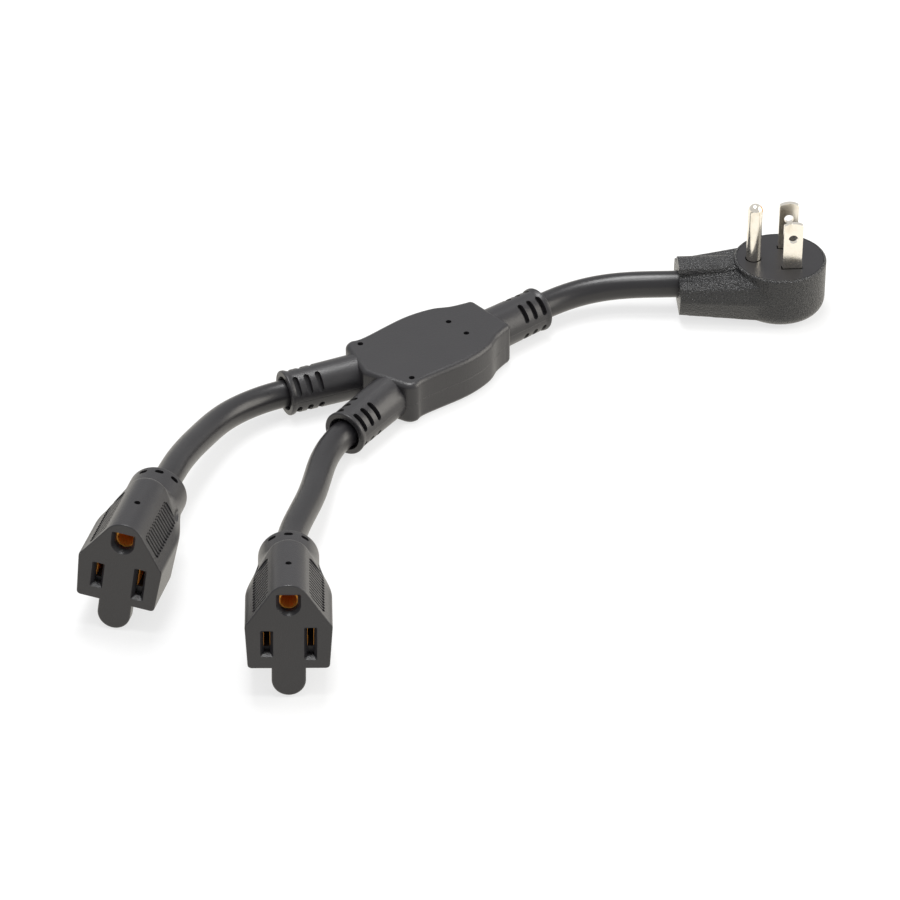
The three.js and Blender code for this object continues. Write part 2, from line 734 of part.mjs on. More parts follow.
function socketBody() {
  const skin = joined(socketSkin(), tab());
  const boreStart = socketLength - socketHold - overrun;
  const bore = backwards(rod(boreRadius, boreStart, socketLength + overrun, reliefSides));
  const dimple = rod(dimpleDiameter / 2, socketTop - dimpleDepth, socketTop + overrun, topDimpleSides);
  return geometryOf(cut(skin, [
    socketHollow(), bore.translate(0, 0, socketAxis), dimple.translate(0, topDimpleBack, 0),
    faceCutter(slotOutline(-slotU, lineSlotHeight)), faceCutter(slotOutline(slotU, neutralSlotHeight)),
    faceCutter(groundOutline), ...ribCutters(), ...ventCutters(),
  ]));
}

function contactBlock() {
  const outline = new THREE.Shape(facePoints(socketWall + gap));
  const body = new THREE.ExtrudeGeometry(outline, { depth: contactBlockLength, bevelEnabled: false });
  body.rotateX(Math.PI / 2).translate(0, blockEnd, 0);
  const clipHalf = contactMouth / 2 + contactThickness + gap;
  const tailHalf = wireRadius + gap;
  const rise = contactHeight / 2 + gap;
  const pockets = [-slotU, slotU].flatMap((u) => [
    block([u - clipHalf, contactStart - overrun, -rise], [u + clipHalf, contactEnd + gap, rise]),
    block([u - tailHalf, contactEnd, -rise], [u + tailHalf, blockEnd + overrun, rise]),
  ]);
  const sleeve = groundContactRadius + contactThickness + gap;
  const well = backwards(rod(sleeve, contactStart - overrun, contactEnd + gap, contactSides));
  const tailHole = backwards(rod(tailHalf, contactEnd, blockEnd + overrun, contactSides));
  return geometryOf(cut(solidOf(body), [
    ...pockets, well.translate(0, 0, groundHoleHeight), tailHole.translate(0, 0, groundHoleHeight),
  ]));
}

// A folded brass clip: two leaves that grip a blade, a web and a tail for the wire
function bladeContact() {
  const mouth = contactMouth / 2;
  const outer = mouth + contactThickness;
  const tail = contactTailWidth / 2;
  const web = contactDepth - contactThickness;
  const shape = new THREE.Shape([
    [-outer, 0], [-mouth, 0], [-mouth, web], [mouth, web], [mouth, 0], [outer, 0], [outer, contactDepth],
    [tail, contactDepth], [tail, contactDepth + contactTailLength], [-tail, contactDepth + contactTailLength],
    [-tail, contactDepth], [-outer, contactDepth],
  ].map(([x, y]) => new THREE.Vector2(x, y)));
  const clip = new THREE.ExtrudeGeometry(shape, { depth: contactHeight, bevelEnabled: false });
  return clip.translate(0, contactStart, -contactHeight / 2);
}

function groundContact() {
  const mouth = groundContactRadius;
  const outer = mouth + contactThickness;
  const tail = contactTailWidth / 2;
  const web = contactDepth - contactThickness;
  const profile = [
    [0, web], [mouth, web], [mouth, 0], [outer, 0], [outer, contactDepth], [tail, contactDepth],
    [tail, contactDepth + contactTailLength], [0, contactDepth + contactTailLength],
  ];
  return backwards(turned(profile, contactSides)).translate(0, contactStart, groundHoleHeight);
}

const sockets = {};
for (const [name, place] of Object.entries(socketPlaces)) {
  const socket = new THREE.Group();
  socket.rotation.set(
    -THREE.MathUtils.degToRad(place.lift), THREE.MathUtils.degToRad(place.roll),
    THREE.MathUtils.degToRad(place.turn), 'ZXY');
  const body = socketBody();
  const laid = body.clone().applyQuaternion(socket.quaternion);
  laid.computeBoundingBox();
  socket.position.set(place.x, place.y, -laid.boundingBox.min.z);
  addPiece(`socket_body_${name}`, body, facePlastic, socket);
  addPiece(`contact_block_${name}`, contactBlock(), blockNylon, socket);
  addPiece(`contact_line_${name}`, bladeContact(), brass, socket).position.x = -slotU;
  addPiece(`contact_neutral_${name}`, bladeContact(), brass, socket).position.x = slotU;
  addPiece(`contact_ground_${name}`, groundContact(), brass, socket);
  model.add(socket);
  sockets[name] = socket;
}
model.updateMatrixWorld(true);

// Cords and their wires

const lifted = (matrix, points) =>
  points.map(([x, y, z]) => new THREE.Vector3(x, y, z).applyMatrix4(matrix));

// Points on the straight line out of an opening, at given distances; each ends or starts a cord
const outOfEntry = (entry, distances) => lifted(entryPlace(entry), distances.map((x) => [x, 0, 0]));

const outOfSocket = (socket, distances) =>
  lifted(socket.matrixWorld, distances.map((back) => [0, back, socketAxis]));

const outOfPlug = (distances) => lifted(plug.matrixWorld, distances.map((x) => [-x, 0, plugCordHeight]));

const socketJacketEnd = socketLength - socketHold + gap;
const plugJacketEnd = plugLength - plugHold + gap;

function route(entry, free, arrival) {
  const start = outOfEntry(entry, [
    -jacketHold, entry.length / 2, entry.length - straightRun, entry.length, entry.length + straightRun,
  ]);
  return new THREE.CatmullRomCurve3([...start, ...lifted(new THREE.Matrix4(), free), ...arrival]);
}

const socketArrival = (socket) => outOfSocket(socket, [
  socketLength + straightRun, socketLength, socketLength - straightRun, socketJacketEnd,
]);

const plugArrival = outOfPlug([
  plugLength + straightRun, plugLength, plugLength - straightRun, plugJacketEnd,
]);

// Where each wire lies in its cord, as an angle from straight up, seen with the cord's end pointing away
const thirdTurn = (2 * Math.PI) / 3;

// Each cord: its route, the side of the crimps that it reaches, and which way up its ground wire lies
const cords = {
  socket_a: {
    entry: entries.a,
    path: route(entries.a, freeRouteA, socketArrival(sockets.a)),
    stack: 1,
    groundTurn: Math.PI,
  },
  socket_b: {
    entry: entries.b,
    path: route(entries.b, freeRouteB, socketArrival(sockets.b)),
    stack: -1,
    groundTurn: Math.PI,
  },
  plug: { entry: entries.c, path: route(entries.c, freeRouteC, plugArrival), stack: 0, groundTurn: 0 },
};

const wireTurns = { ground: 0, line: thirdTurn, neutral: -thirdTurn };

// The far ends of the wires: two points towards each terminal, the last 0.3 mm short of it
const wireEnds = {
  socket: (socket) => {
    const spots = { line: [-slotU, 0], neutral: [slotU, 0], ground: [0, groundHoleHeight] };
    return Object.fromEntries(Object.entries(spots).map(([name, [u, w]]) => [name, lifted(
      socket.matrixWorld, [[u, blockEnd + wireLead, w], [u, blockEnd, w], [u, tailEnd + gap, w]])]));
  },
  plug: () => {
    const bladeEdge = bladeX - bladeWidth / 2 - gap;
    const pinEdge = groundX - groundDiameter / 2 - gap;
    const spots = { line: [bladeEdge, bladeY], neutral: [bladeEdge, -bladeY], ground: [pinEdge, 0] };
    return Object.fromEntries(Object.entries(spots).map(([name, [x, y]]) => [name, lifted(
      plug.matrixWorld, [2, 1, 0].map((leads) => [x - leads * wireLead, y, plugWireHeight]))]));
  },
};

// A short wire from inside one end of a cord, straight out and then by the given points
function wireTail(end, outwards, points, sides) {
  const reaches = [-wireStub, 0, wireStraight];
  const start = reaches.map((reach) => end.clone().addScaledVector(outwards, reach));
  const path = new THREE.CatmullRomCurve3([...start, ...points]);
  return swept(path, wireTailSteps, disc(wireRadius), sides);
}

for (const [cordName, cord] of Object.entries(cords)) {
  const steps = Math.ceil(cord.path.getLength() / cordStep);
  const sleeve = disc(cordRadius);
  sleeve.holes.push(disc(cordRadius - jacketWall));
  addPiece(`cord_jacket_${cordName}`, swept(cord.path, steps, sleeve, cordSides), jacketVinyl);

  const frames = cord.path.computeFrenetFrames(steps, false);
  const placed = (index, offset) => cord.path.getPointAt(index / steps)
    .addScaledVector(frames.normals[index], offset.x)
    .addScaledVector(frames.binormals[index], offset.y);
  const side = cord.entry === entries.c ? 1 : -1;
  const farEnds = cord.entry === entries.c ? wireEnds.plug() : wireEnds.socket(sockets[cordName.at(-1)]);
  for (const [wireName, turn] of Object.entries(wireTurns)) {
    const angle = cord.groundTurn + turn;
    const offset = new THREE.Vector2(wireLay * Math.cos(angle), wireLay * Math.sin(angle));
    const core = swept(cord.path, steps, disc(wireRadius, offset.x, offset.y), wireSides);

    const crimpMiddle = crimpStart + crimpLength / 2;
    const reach = side * (crimpLength / 2 + wireLead);
    const height = axisHeight + cord.stack * crimpStack;
    const y = crimpRows[wireName];
    const nearEnd = placed(0, offset);
    const halfWay = new THREE.Vector3((nearEnd.x + crimpMiddle + reach) / 2, (nearEnd.y + y) / 2,
      axisHeight + cord.stack * wireDiameter);
    const nearPoints = [
      halfWay,
      new THREE.Vector3(crimpMiddle + reach, y, height),
      new THREE.Vector3(crimpMiddle + side * gap / 2, y, height),
    ];
    const near = wireTail(nearEnd, frames.tangents[0].clone().negate(), nearPoints, wireSides);
    const far = wireTail(placed(steps, offset), frames.tangents[steps], farEnds[wireName], wireSides);
    addPiece(`wire_${wireName}_${cordName}`, geometryOf(joined(core, near, far)), wireVinyl[wireName]);
  }
}

export default model;
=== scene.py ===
"""A grounded power cord splitter: one flat plug, a moulded junction and two sockets."""

import logging
import math
from dataclasses import dataclass
from enum import Enum
from typing import Callable, Iterable, Sequence

import bmesh
import bpy
from mathutils import Matrix, Vector


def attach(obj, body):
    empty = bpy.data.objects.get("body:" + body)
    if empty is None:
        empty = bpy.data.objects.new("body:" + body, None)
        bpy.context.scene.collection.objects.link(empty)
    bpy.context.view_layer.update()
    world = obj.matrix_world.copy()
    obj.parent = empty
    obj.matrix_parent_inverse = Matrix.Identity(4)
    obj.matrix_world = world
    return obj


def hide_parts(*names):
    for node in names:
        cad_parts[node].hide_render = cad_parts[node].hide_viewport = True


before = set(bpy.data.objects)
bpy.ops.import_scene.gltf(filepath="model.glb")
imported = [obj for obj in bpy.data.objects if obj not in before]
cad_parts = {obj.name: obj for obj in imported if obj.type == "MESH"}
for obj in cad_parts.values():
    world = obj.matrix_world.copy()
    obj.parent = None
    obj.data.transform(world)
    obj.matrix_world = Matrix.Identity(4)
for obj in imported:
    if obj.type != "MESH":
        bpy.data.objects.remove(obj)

LOG = logging.getLogger("splitter")
BODY = "root"                     # the splitter has no moving parts, so all of it rides on one body
MM = 0.001                        # a millimetre in the scene's metres
TO_METRES = Matrix.Diagonal((MM, MM, MM, 1))
QUARTER = math.pi / 2             # a quarter turn
OVERRUN = 1.0                     # cutters run this far past the surfaces that they open
STRAIGHT = 4.0                    # a cord's points lie this far before and after each mouth that it passes
Point = tuple[float, float]
Spot = tuple[float, float, float]


class Cut(Enum):
    """How one solid changes another."""

    JOIN = "UNION"
    REMOVE = "DIFFERENCE"


class WireRole(Enum):
    """The three wires of a grounded cord."""

    LINE = "line"
    NEUTRAL = "neutral"
    GROUND = "ground"


# Lines and outlines, in millimetres


def arc(centre: Point, radius: float, start: float, end: float, steps: int) -> list[Point]:
    """Points along a circular arc.

    Args:
        centre: the arc's centre.
        radius: its radius.
        start: first angle in radians.
        end: last angle in radians.
        steps: number of segments.

    Returns:
        The points, both ends included.
    """
    turns = [start + (end - start) * i / steps for i in range(steps + 1)]
    return [(centre[0] + radius * math.cos(t), centre[1] + radius * math.sin(t)) for t in turns]


def corner(start: Point, tip: Point, end: Point, steps: int) -> list[Point]:
    """Points along a parabolic corner.

    Args:
        start: where the curve leaves the first edge.
        tip: the sharp corner that it takes the place of.
        end: where the curve meets the second edge.
        steps: number of segments.

    Returns:
        The points, both ends included.
    """
    line = []
    for i in range(steps + 1):
        t = i / steps
        weights = ((1 - t) ** 2, 2 * t * (1 - t), t * t)
        line.append(tuple(sum(w * p[k] for w, p in zip(weights, (start, tip, end))) for k in (0, 1)))
    return line


def smooth_line(points: Sequence[Sequence[float]], steps: int) -> list[tuple[float, ...]]:
    """A Catmull-Rom line through points.

    Args:
        points: the points to pass through, of any dimension.
        steps: segments between two neighbours.

    Returns:
        The line's points, both ends included.
    """
    first = [2 * a - b for a, b in zip(points[0], points[1])]
    last = [2 * a - b for a, b in zip(points[-1], points[-2])]
    knots = [first, *points, last]
    line = []
    for four in zip(knots, knots[1:], knots[2:], knots[3:]):
        for k in range(steps):
            t = k / steps
            line.append(tuple(
                0.5 * (2 * q + (r - p) * t + (2 * p - 5 * q + 4 * r - s) * t * t
                       + (3 * q - p - 3 * r + s) * t ** 3)
                for p, q, r, s in zip(*four)))
    return [*line, tuple(points[-1])]


def mirrored(points: Iterable[Point]) -> list[Point]:
    """The points reflected in the first axis, in reverse order."""
    return [(x, -y) for x, y in reversed(list(points))]


def flipped(points: Iterable[Point]) -> list[Point]:
    """The points reflected in the second axis, in reverse order."""
    return [(-x, y) for x, y in reversed(list(points))]


def divided(points: Sequence[Point], longest: float) -> list[Point]:
    """Splits the long edges of a closed outline.

    Args:
        points: the outline.
        longest: the longest edge that may stay whole.

    Returns:
        The outline with the points that were added.
    """
    line = []
    for (ax, ay), (bx, by) in zip(points, [*points[1:], points[0]]):
        pieces = max(1, math.ceil(math.dist((ax, ay), (bx, by)) / longest))
        line += [(ax + (bx - ax) * i / pieces, ay + (by - ay) * i / pieces) for i in range(pieces)]
    return line


def blend_between(value: float, start: float, end: float) -> float:
    """0 before start, 1 after end, and a smooth rise between them."""
    t = min(1.0, max(0.0, (value - start) / (end - start)))
    return t * t * (3 - 2 * t)


# Places


def at(x: float, y: float, z: float) -> Matrix:
    """A shift."""
    return Matrix.Translation((x, y, z))


def turn_by(angle: float, axis: str) -> Matrix:
    """A turn in radians about an axis."""
    return Matrix.Rotation(angle, 4, axis)


# Meshes, in millimetres until they are placed


def moved(mesh: bmesh.types.BMesh, matrix: Matrix) -> bmesh.types.BMesh:
    """Moves a mesh and returns it, for use in an expression."""
    bmesh.ops.transform(mesh, matrix=matrix, verts=mesh.verts)
    return mesh


def upright(mesh: bmesh.types.BMesh) -> bmesh.types.BMesh:
    """Stands a mesh that lies along X up along Z."""
    return moved(mesh, turn_by(-QUARTER, "Y"))


def lathe(profile: Sequence[Point], steps: int) -> bmesh.types.BMesh:
    """Turns a profile about the X axis.

    Args:
        profile: distance along X and radius pairs; a ring's profile closes on its first point.
        steps: segments round the axis.

    Returns:
        The turned mesh.
    """
    mesh = bmesh.new()
    chain = [mesh.verts.new((x, 0, radius)) for x, radius in profile]
    ring = profile[0][1] > 0 and profile[-1][1] > 0
    pairs = list(zip(chain, chain[1:])) + ([(chain[-1], chain[0])] if ring else [])
    edges = [mesh.edges.new(pair) for pair in pairs]
    bmesh.ops.spin(mesh, geom=[*chain, *edges], axis=(1, 0, 0), cent=(0, 0, 0), angle=2 * math.pi,
                   steps=steps, use_merge=True)
    bmesh.ops.remove_doubles(mesh, verts=mesh.verts, dist=1e-4)
    bmesh.ops.recalc_face_normals(mesh, faces=mesh.faces)
    return mesh


def loft(rings: Sequence[Sequence[Spot]]) -> bmesh.types.BMesh:
    """A closed skin over rings that all have the same number of points.

    Args:
        rings: the rings in order, each a list of places.

    Returns:
        The closed mesh, faces out.
    """
    mesh = bmesh.new()
    face = mesh.faces.new([mesh.verts.new(place) for place in rings[0]])
    for ring in rings[1:]:
        face = bmesh.ops.extrude_discrete_faces(mesh, faces=[face])["faces"][0]
        for vert, place in zip(face.verts, ring):
            vert.co = place
    bmesh.ops.holes_fill(mesh, edges=mesh.edges, sides=0)
    bmesh.ops.recalc_face_normals(mesh, faces=mesh.faces)
    return mesh


def prism(outline: Sequence[Point], low: float, high: float, soft: float = 0,
          segments: int = 4) -> bmesh.types.BMesh:
    """An upright prism, with rounded top and bottom edges where soft is given.

    Args:
        outline: the plan, anticlockwise.
        low: height of the bottom.
        high: height of the top.
        soft: radius of the rounded edges, or 0 for sharp ones.
        segments: segments across each rounded edge.

    Returns:
        The closed mesh.
    """
    mesh = loft([[(x, y, z) for x, y in outline] for z in (low, high)])
    if soft:
        level = [e for e in mesh.edges if abs(e.verts[0].co.z - e.verts[1].co.z) < 1e-6]
        bmesh.ops.bevel(mesh, geom=level, offset=soft, segments=segments, profile=0.5, affect="EDGES",
                        material=-1, clamp_overlap=True)
    return mesh


def cuboid(low: Spot, high: Spot) -> bmesh.types.BMesh:
    """A box between two corners.

    Args:
        low: the corner with the lowest values.
        high: the corner with the highest values.

    Returns:
        The closed mesh.
    """
    mesh = bmesh.new()
    bmesh.ops.create_cube(mesh, size=1)
    size = [b - a for a, b in zip(low, high)]
    middle = [(a + b) / 2 for a, b in zip(low, high)]
    return moved(mesh, Matrix.Translation(middle) @ Matrix.Diagonal((*size, 1)))


def rod(radius: float, start: float, end: float, steps: int) -> bmesh.types.BMesh:
    """A plain cylinder along X."""
    return lathe([(start, 0), (start, radius), (end, radius), (end, 0)], steps)


def gathered(meshes: Iterable[bmesh.types.BMesh]) -> bmesh.types.BMesh:
    """Puts several meshes into one, without joining their skins.

    Args:
        meshes: the meshes, which are used up.

    Returns:
        The mesh that holds them all.
    """
    whole = bmesh.new()
    for mesh in meshes:
        part = bpy.data.meshes.new("part")
        mesh.to_mesh(part)
        mesh.free()
        whole.from_mesh(part)
        bpy.data.meshes.remove(part)
    return whole


def as_object(name: str, mesh: bmesh.types.BMesh) -> bpy.types.Object:
    """Puts a mesh into the scene as an object at the origin.

    Args:
        name: the object's name.
        mesh: its mesh, which is used up.

    Returns:
        The new object.
    """
    data = bpy.data.meshes.new(name)
    mesh.to_mesh(data)
    mesh.free()
    piece = bpy.data.objects.new(name, data)
    bpy.context.scene.collection.objects.link(piece)
    return piece


def settle(piece: bpy.types.Object) -> None:
    """Applies every modifier on a piece.

    Args:
        piece: the object, whose mesh becomes what the modifiers make of it.
    """
    bpy.context.view_layer.update()
    shown = piece.evaluated_get(bpy.context.evaluated_depsgraph_get())
    settled = bpy.data.meshes.new_from_object(shown)
    piece.modifiers.clear()
    piece.data = settled


def carve(piece: bpy.types.Object, how: Cut, meshes: Iterable[bmesh.types.BMesh]) -> None:
    """Joins or removes solids one after another.

    Args:
        piece: the object that is changed.
        how: join or remove.
        meshes: the solids, each closed.
    """
    tools = []
    for mesh in meshes:
        tool = as_object("tool", mesh)
        change = piece.modifiers.new("carve", "BOOLEAN")
        change.operation = how.value
        change.solver = "MANIFOLD"
        change.object = tool
        tools.append(tool)
    settle(piece)
    for tool in tools:
        bpy.data.objects.remove(tool)


def finished(piece: bpy.types.Object, place: Matrix, material: bpy.types.Material,
             replaced: Sequence[str], crease: float = 32) -> bpy.types.Object:
    """Places a piece in the frame, dresses it and rides it on the body.

    Args:
        piece: the object, still in millimetres at the origin.
        place: where it goes, in millimetres.
        material: its finish.
        replaced: the CAD nodes that it stands for.
        crease: edges sharper than this many degrees stay sharp.

    Returns:
        The same piece.
    """
    piece.data.transform(TO_METRES @ place)
    piece.data.polygons.foreach_set("use_smooth", [True] * len(piece.data.polygons))
    piece.data.set_sharp_from_angle(angle=math.radians(crease))
    even = piece.modifiers.new("even", "WEIGHTED_NORMAL")
    even.keep_sharp = True
    settle(piece)
    piece.data.materials.clear()
    piece.data.materials.append(material)
    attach(piece, BODY)
    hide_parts(*replaced)
    LOG.info("%s: %d faces", piece.name, len(piece.data.polygons))
    return piece


def dress(node: str, material: bpy.types.Material) -> bpy.types.Object:
    """Gives a CAD node its finish.

    Args:
        node: the node's name in the record.
        material: its finish.

    Returns:
        The node's object, whose mesh stays as it is.
    """
    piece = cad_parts[node]
    piece.data.materials.clear()
    piece.data.materials.append(material)
    LOG.info("%s: dressed", node)
    return piece


# Finishes


def linear(colour: str) -> tuple[float, float, float, float]:
    """Turns an sRGB colour to linear.

    Args:
        colour: hex digits after a #.

    Returns:
        Linear red, green and blue, and an alpha of 1.
    """
    parts = [int(colour[i:i + 2], 16) / 255 for i in (1, 3, 5)]
    flat = [c / 12.92 if c <= 0.04045 else ((c + 0.055) / 1.055) ** 2.4 for c in parts]
    return (*flat, 1.0)


def add_node(tree: bpy.types.NodeTree, kind: str, settings: dict | None = None,
             **links: object) -> bpy.types.Node:
    """Adds a node with its settings and links.

    Args:
        tree: the material's or world's node tree.
        kind: the node's type name.
        settings: attributes of the node.
        **links: inputs by name, with _ for a space, or by i and their number; a socket is linked and a
            value is set.

    Returns:
        The new node.
    """
    node = tree.nodes.new(kind)
    for key, value in (settings or {}).items():
        setattr(node, key, value)
    for key, value in links.items():
        name = key.replace("_", " ")
        entry = node.inputs[int(name[1:])] if name[0] == "i" and name[1:].isdigit() else node.inputs[name]
        if isinstance(value, bpy.types.NodeSocket):
            tree.links.new(value, entry)
        else:
            entry.default_value = value
    return node


def new_material(name: str) -> tuple[bpy.types.Material, bpy.types.Node]:
    """Starts a material.

    Args:
        name: what the real material is.

    Returns:
        The material and its Principled shader.
    """
    made = bpy.data.materials.new(name)
    made.use_nodes = True
    return made, made.node_tree.nodes["Principled BSDF"]


@dataclass(frozen=True)
class Plastic:
    """Moulded or extruded plastic: a satin skin whose fine grain comes from its mould or die."""

    name: str
    colour: str
    worn: str                     # the other tone of the colour's slow drift
    roughness: float
    grain: float                  # grain size in millimetres
    grain_depth: float            # height of the grain in millimetres
    parting: float | None = None  # height of the mould's parting line in millimetres
    drift: float = 12.0           # size of the colour's drift in millimetres
    sheen: float = 0.06           # how far the grain takes the roughness down
    dulling: float = 0.08         # and up
    ior: float = 1.53             # that of soft PVC, and of nylon
    parting_half: float = 0.16    # half of the parting line's width in millimetres
    parting_depth: float = 0.08   # its depth in millimetres

    def material(self) -> bpy.types.Material:
        """Builds the material.

        Returns:
            A Principled material with drift in its colour and grain in its bump.
        """
        made, shader = new_material(self.name)
        tree = made.node_tree
        place = add_node(tree, "ShaderNodeTexCoord").outputs["Object"]
        drift = add_node(tree, "ShaderNodeTexNoise", Vector=place, Scale=1 / (self.drift * MM), Detail=3.0)
        tone = add_node(tree, "ShaderNodeMix", {"data_type": "RGBA"}, Factor=drift.outputs["Fac"],
                        i6=linear(self.colour), i7=linear(self.worn))
        grain = add_node(tree, "ShaderNodeTexNoise", Vector=place, Scale=1 / (self.grain * MM), Detail=2.0)
        rough = add_node(tree, "ShaderNodeMapRange", Value=grain.outputs["Fac"],
                         To_Min=self.roughness - self.sheen, To_Max=self.roughness + self.dulling)
        bump = add_node(tree, "ShaderNodeBump", Height=grain.outputs["Fac"], Distance=self.grain_depth * MM,
                        Strength=1.0)
        normal = bump.outputs["Normal"]
        if self.parting is not None:
            normal = self.parting_line(tree, place, normal)
        shader.inputs["IOR"].default_value = self.ior
        tree.links.new(tone.outputs[2], shader.inputs["Base Color"])
        tree.links.new(rough.outputs["Result"], shader.inputs["Roughness"])
        tree.links.new(normal, shader.inputs["Normal"])
        return made

    def parting_line(self, tree: bpy.types.NodeTree, place: bpy.types.NodeSocket,
                     normal: bpy.types.NodeSocket) -> bpy.types.NodeSocket:
        """Adds the fine line where the mould's halves met.

        Args:
            tree: the material's node tree.
            place: the place on the object.
            normal: the grain's normal.

        Returns:
            The normal with the line in it.
        """
        height = add_node(tree, "ShaderNodeSeparateXYZ", Vector=place).outputs["Z"]
        off = add_node(tree, "ShaderNodeMath", {"operation": "SUBTRACT"}, i0=height, i1=self.parting * MM)
        near = add_node(tree, "ShaderNodeMath", {"operation": "ABSOLUTE"}, i0=off.outputs[0])
        line = add_node(tree, "ShaderNodeMapRange", Value=near.outputs[0], From_Min=0.0,
                        From_Max=self.parting_half * MM, To_Min=0.0, To_Max=1.0)
        seam = add_node(tree, "ShaderNodeBump", Height=line.outputs["Result"],
                        Distance=self.parting_depth * MM, Normal=normal, Strength=1.0)
        return seam.outputs["Normal"]


@dataclass(frozen=True)
class Metal:
    """Sheet or turned metal: rolled or drawn, so its fine lines run one way."""

    name: str
    colour: str
    tarnish: str
    roughness: float
    metallic: float = 1.0
    worn: tuple[Spot, float] | None = None  # where the plating is worn through, and that spot's radius
    worn_edge: float = 0.8                  # where the spot starts to fade, as a share of its radius
    bare: str = "#E8A83C"                   # the brass under the plating
    lines: Spot = (900.0, 900.0, 60.0)      # how the drawing lines are stretched along the prongs
    line_scale: float = 4.0                 # which makes them 0.3 mm wide and 4 mm long
    line_depth: float = 0.01                # height of the drawing lines in millimetres
    line_strength: float = 0.6
    patch: float = 5.0                      # size of the tarnished patches in millimetres
    sheen: float = 0.05                     # how far the lines take the roughness down
    dulling: float = 0.08                   # and up

    def material(self) -> bpy.types.Material:
        """Builds the material.

        Returns:
            A metallic Principled material with faint drawing lines and tarnish.
        """
        made, shader = new_material(self.name)
        tree = made.node_tree
        place = add_node(tree, "ShaderNodeTexCoord").outputs["Object"]
        stretched = add_node(tree, "ShaderNodeMapping", Vector=place, Scale=self.lines)
        lines = add_node(tree, "ShaderNodeTexNoise", Vector=stretched.outputs["Vector"],
                         Scale=self.line_scale, Detail=2.0)
        patches = add_node(tree, "ShaderNodeTexNoise", Vector=place, Scale=1 / (self.patch * MM), Detail=3.0)
        share = add_node(tree, "ShaderNodeMapRange", Value=patches.outputs["Fac"], From_Min=0.5,
                         From_Max=0.8)
        tone = add_node(tree, "ShaderNodeMix", {"data_type": "RGBA"}, Factor=share.outputs["Result"],
                        i6=linear(self.colour), i7=linear(self.tarnish))
        if self.worn:
            tone = self.worn_spot(tree, place, tone)
        rough = add_node(tree, "ShaderNodeMapRange", Value=lines.outputs["Fac"],
                         To_Min=self.roughness - self.sheen, To_Max=self.roughness + self.dulling)
        bump = add_node(tree, "ShaderNodeBump", Height=lines.outputs["Fac"], Distance=self.line_depth * MM,
                        Strength=self.line_strength)
        shader.inputs["Metallic"].default_value = self.metallic
        tree.links.new(tone.outputs[2], shader.inputs["Base Color"])
        tree.links.new(rough.outputs["Result"], shader.inputs["Roughness"])
        tree.links.new(bump.outputs["Normal"], shader.inputs["Normal"])
        return made

    def worn_spot(self, tree: bpy.types.NodeTree, place: bpy.types.NodeSocket,
                  tone: bpy.types.Node) -> bpy.types.Node:
        """Adds the small spot where the plating is worn through.

        Args:
            tree: the material's node tree.
            place: the place on the object.
            tone: the node that mixes the plating's colour.

        Returns:
            The node that mixes the bare metal in.
        """
        spot, radius = self.worn
        away = add_node(tree, "ShaderNodeVectorMath", {"operation": "DISTANCE"}, i0=place,
                        i1=Vector(spot) * MM)
        bare = add_node(tree, "ShaderNodeMapRange", Value=away.outputs["Value"],
                        From_Min=radius * MM * self.worn_edge, From_Max=radius * MM, To_Min=1.0, To_Max=0.0)
        return add_node(tree, "ShaderNodeMix", {"data_type": "RGBA"}, Factor=bare.outputs["Result"],
                        i6=tone.outputs[2], i7=linear(self.bare))


@dataclass
class Finishes:
    """Every finish of the splitter, each made once."""

    # PVC from a finely etched mould: soft, broad highlights, and a hairline where the halves met
    hub: Plastic = Plastic("moulded_pvc", "#242326", "#29282A", 0.36, 0.5, 0.05, parting=7.35)
    # PVC from a coarse spark-eroded mould: pebbles that break the light up into small glints
    plug: Plastic = Plastic("spark_grained_pvc", "#1F1F21", "#262627", 0.25, 0.62, 0.7, parting=9.3)
    # PVC from a polished mould: almost smooth, so the light lies on it in one sheet
    carrier: Plastic = Plastic("smooth_pvc", "#1D1C1F", "#222124", 0.3, 0.3, 0.01)
    # PVC from the same etched mould as the junction's, a little glossier
    socket: Plastic = Plastic("socket_pvc", "#242326", "#2A292B", 0.34, 0.5, 0.05)
    # Extruded PVC: a long smooth highlight with a faint ripple
    jacket: Plastic = Plastic("jacket_pvc", "#1B1A1D", "#201F21", 0.3, 1.2, 0.012)
    # Extruded wire insulation: plain, even and half matt, in the wires' three colours
    line: Plastic = Plastic("black_wire_pvc", "#1C1C1C", "#242424", 0.4, 0.4, 0.005)
    neutral: Plastic = Plastic("white_wire_pvc", "#E2E0DA", "#D6D4CC", 0.4, 0.4, 0.005)
    ground: Plastic = Plastic("green_wire_pvc", "#2C7A3A", "#256A32", 0.4, 0.4, 0.005)
    # Moulded nylon: dull black that keeps the sockets' openings dark
    nylon: Plastic = Plastic("black_nylon", "#242325", "#2A292B", 0.6, 0.3, 0.01)
    # Nickel plate on rolled brass strip: bright, with faint lines along it and duller patches
    nickel: Metal = Metal("nickel_plated_brass", "#FFFAF0", "#E9E0CF", 0.19)
    # The same plate on drawn brass: a little glossier, with a spot near the tip where the brass shows
    prong: Metal = Metal("nickel_plated_prong", "#FFFAF0", "#E9E0CF", 0.17,
                         worn=((111.5, -37.4, 37.6), 1.5))
    # Rolled brass strip: a warm glint deep in the openings, only partly metallic so that it shows there
    brass: Metal = Metal("rolled_brass", "#F0A848", "#C88430", 0.5, metallic=0.6)
    # Thinly tinned copper: the copper's brown still shows through, on crimps that the vinyl hides
    copper: Metal = Metal("tinned_copper", "#B87A4A", "#96603A", 0.35)

    def __post_init__(self) -> None:
        """Makes the materials."""
        self.made = {key: getattr(self, key).material() for key in self.__dataclass_fields__}


# Sub-assemblies


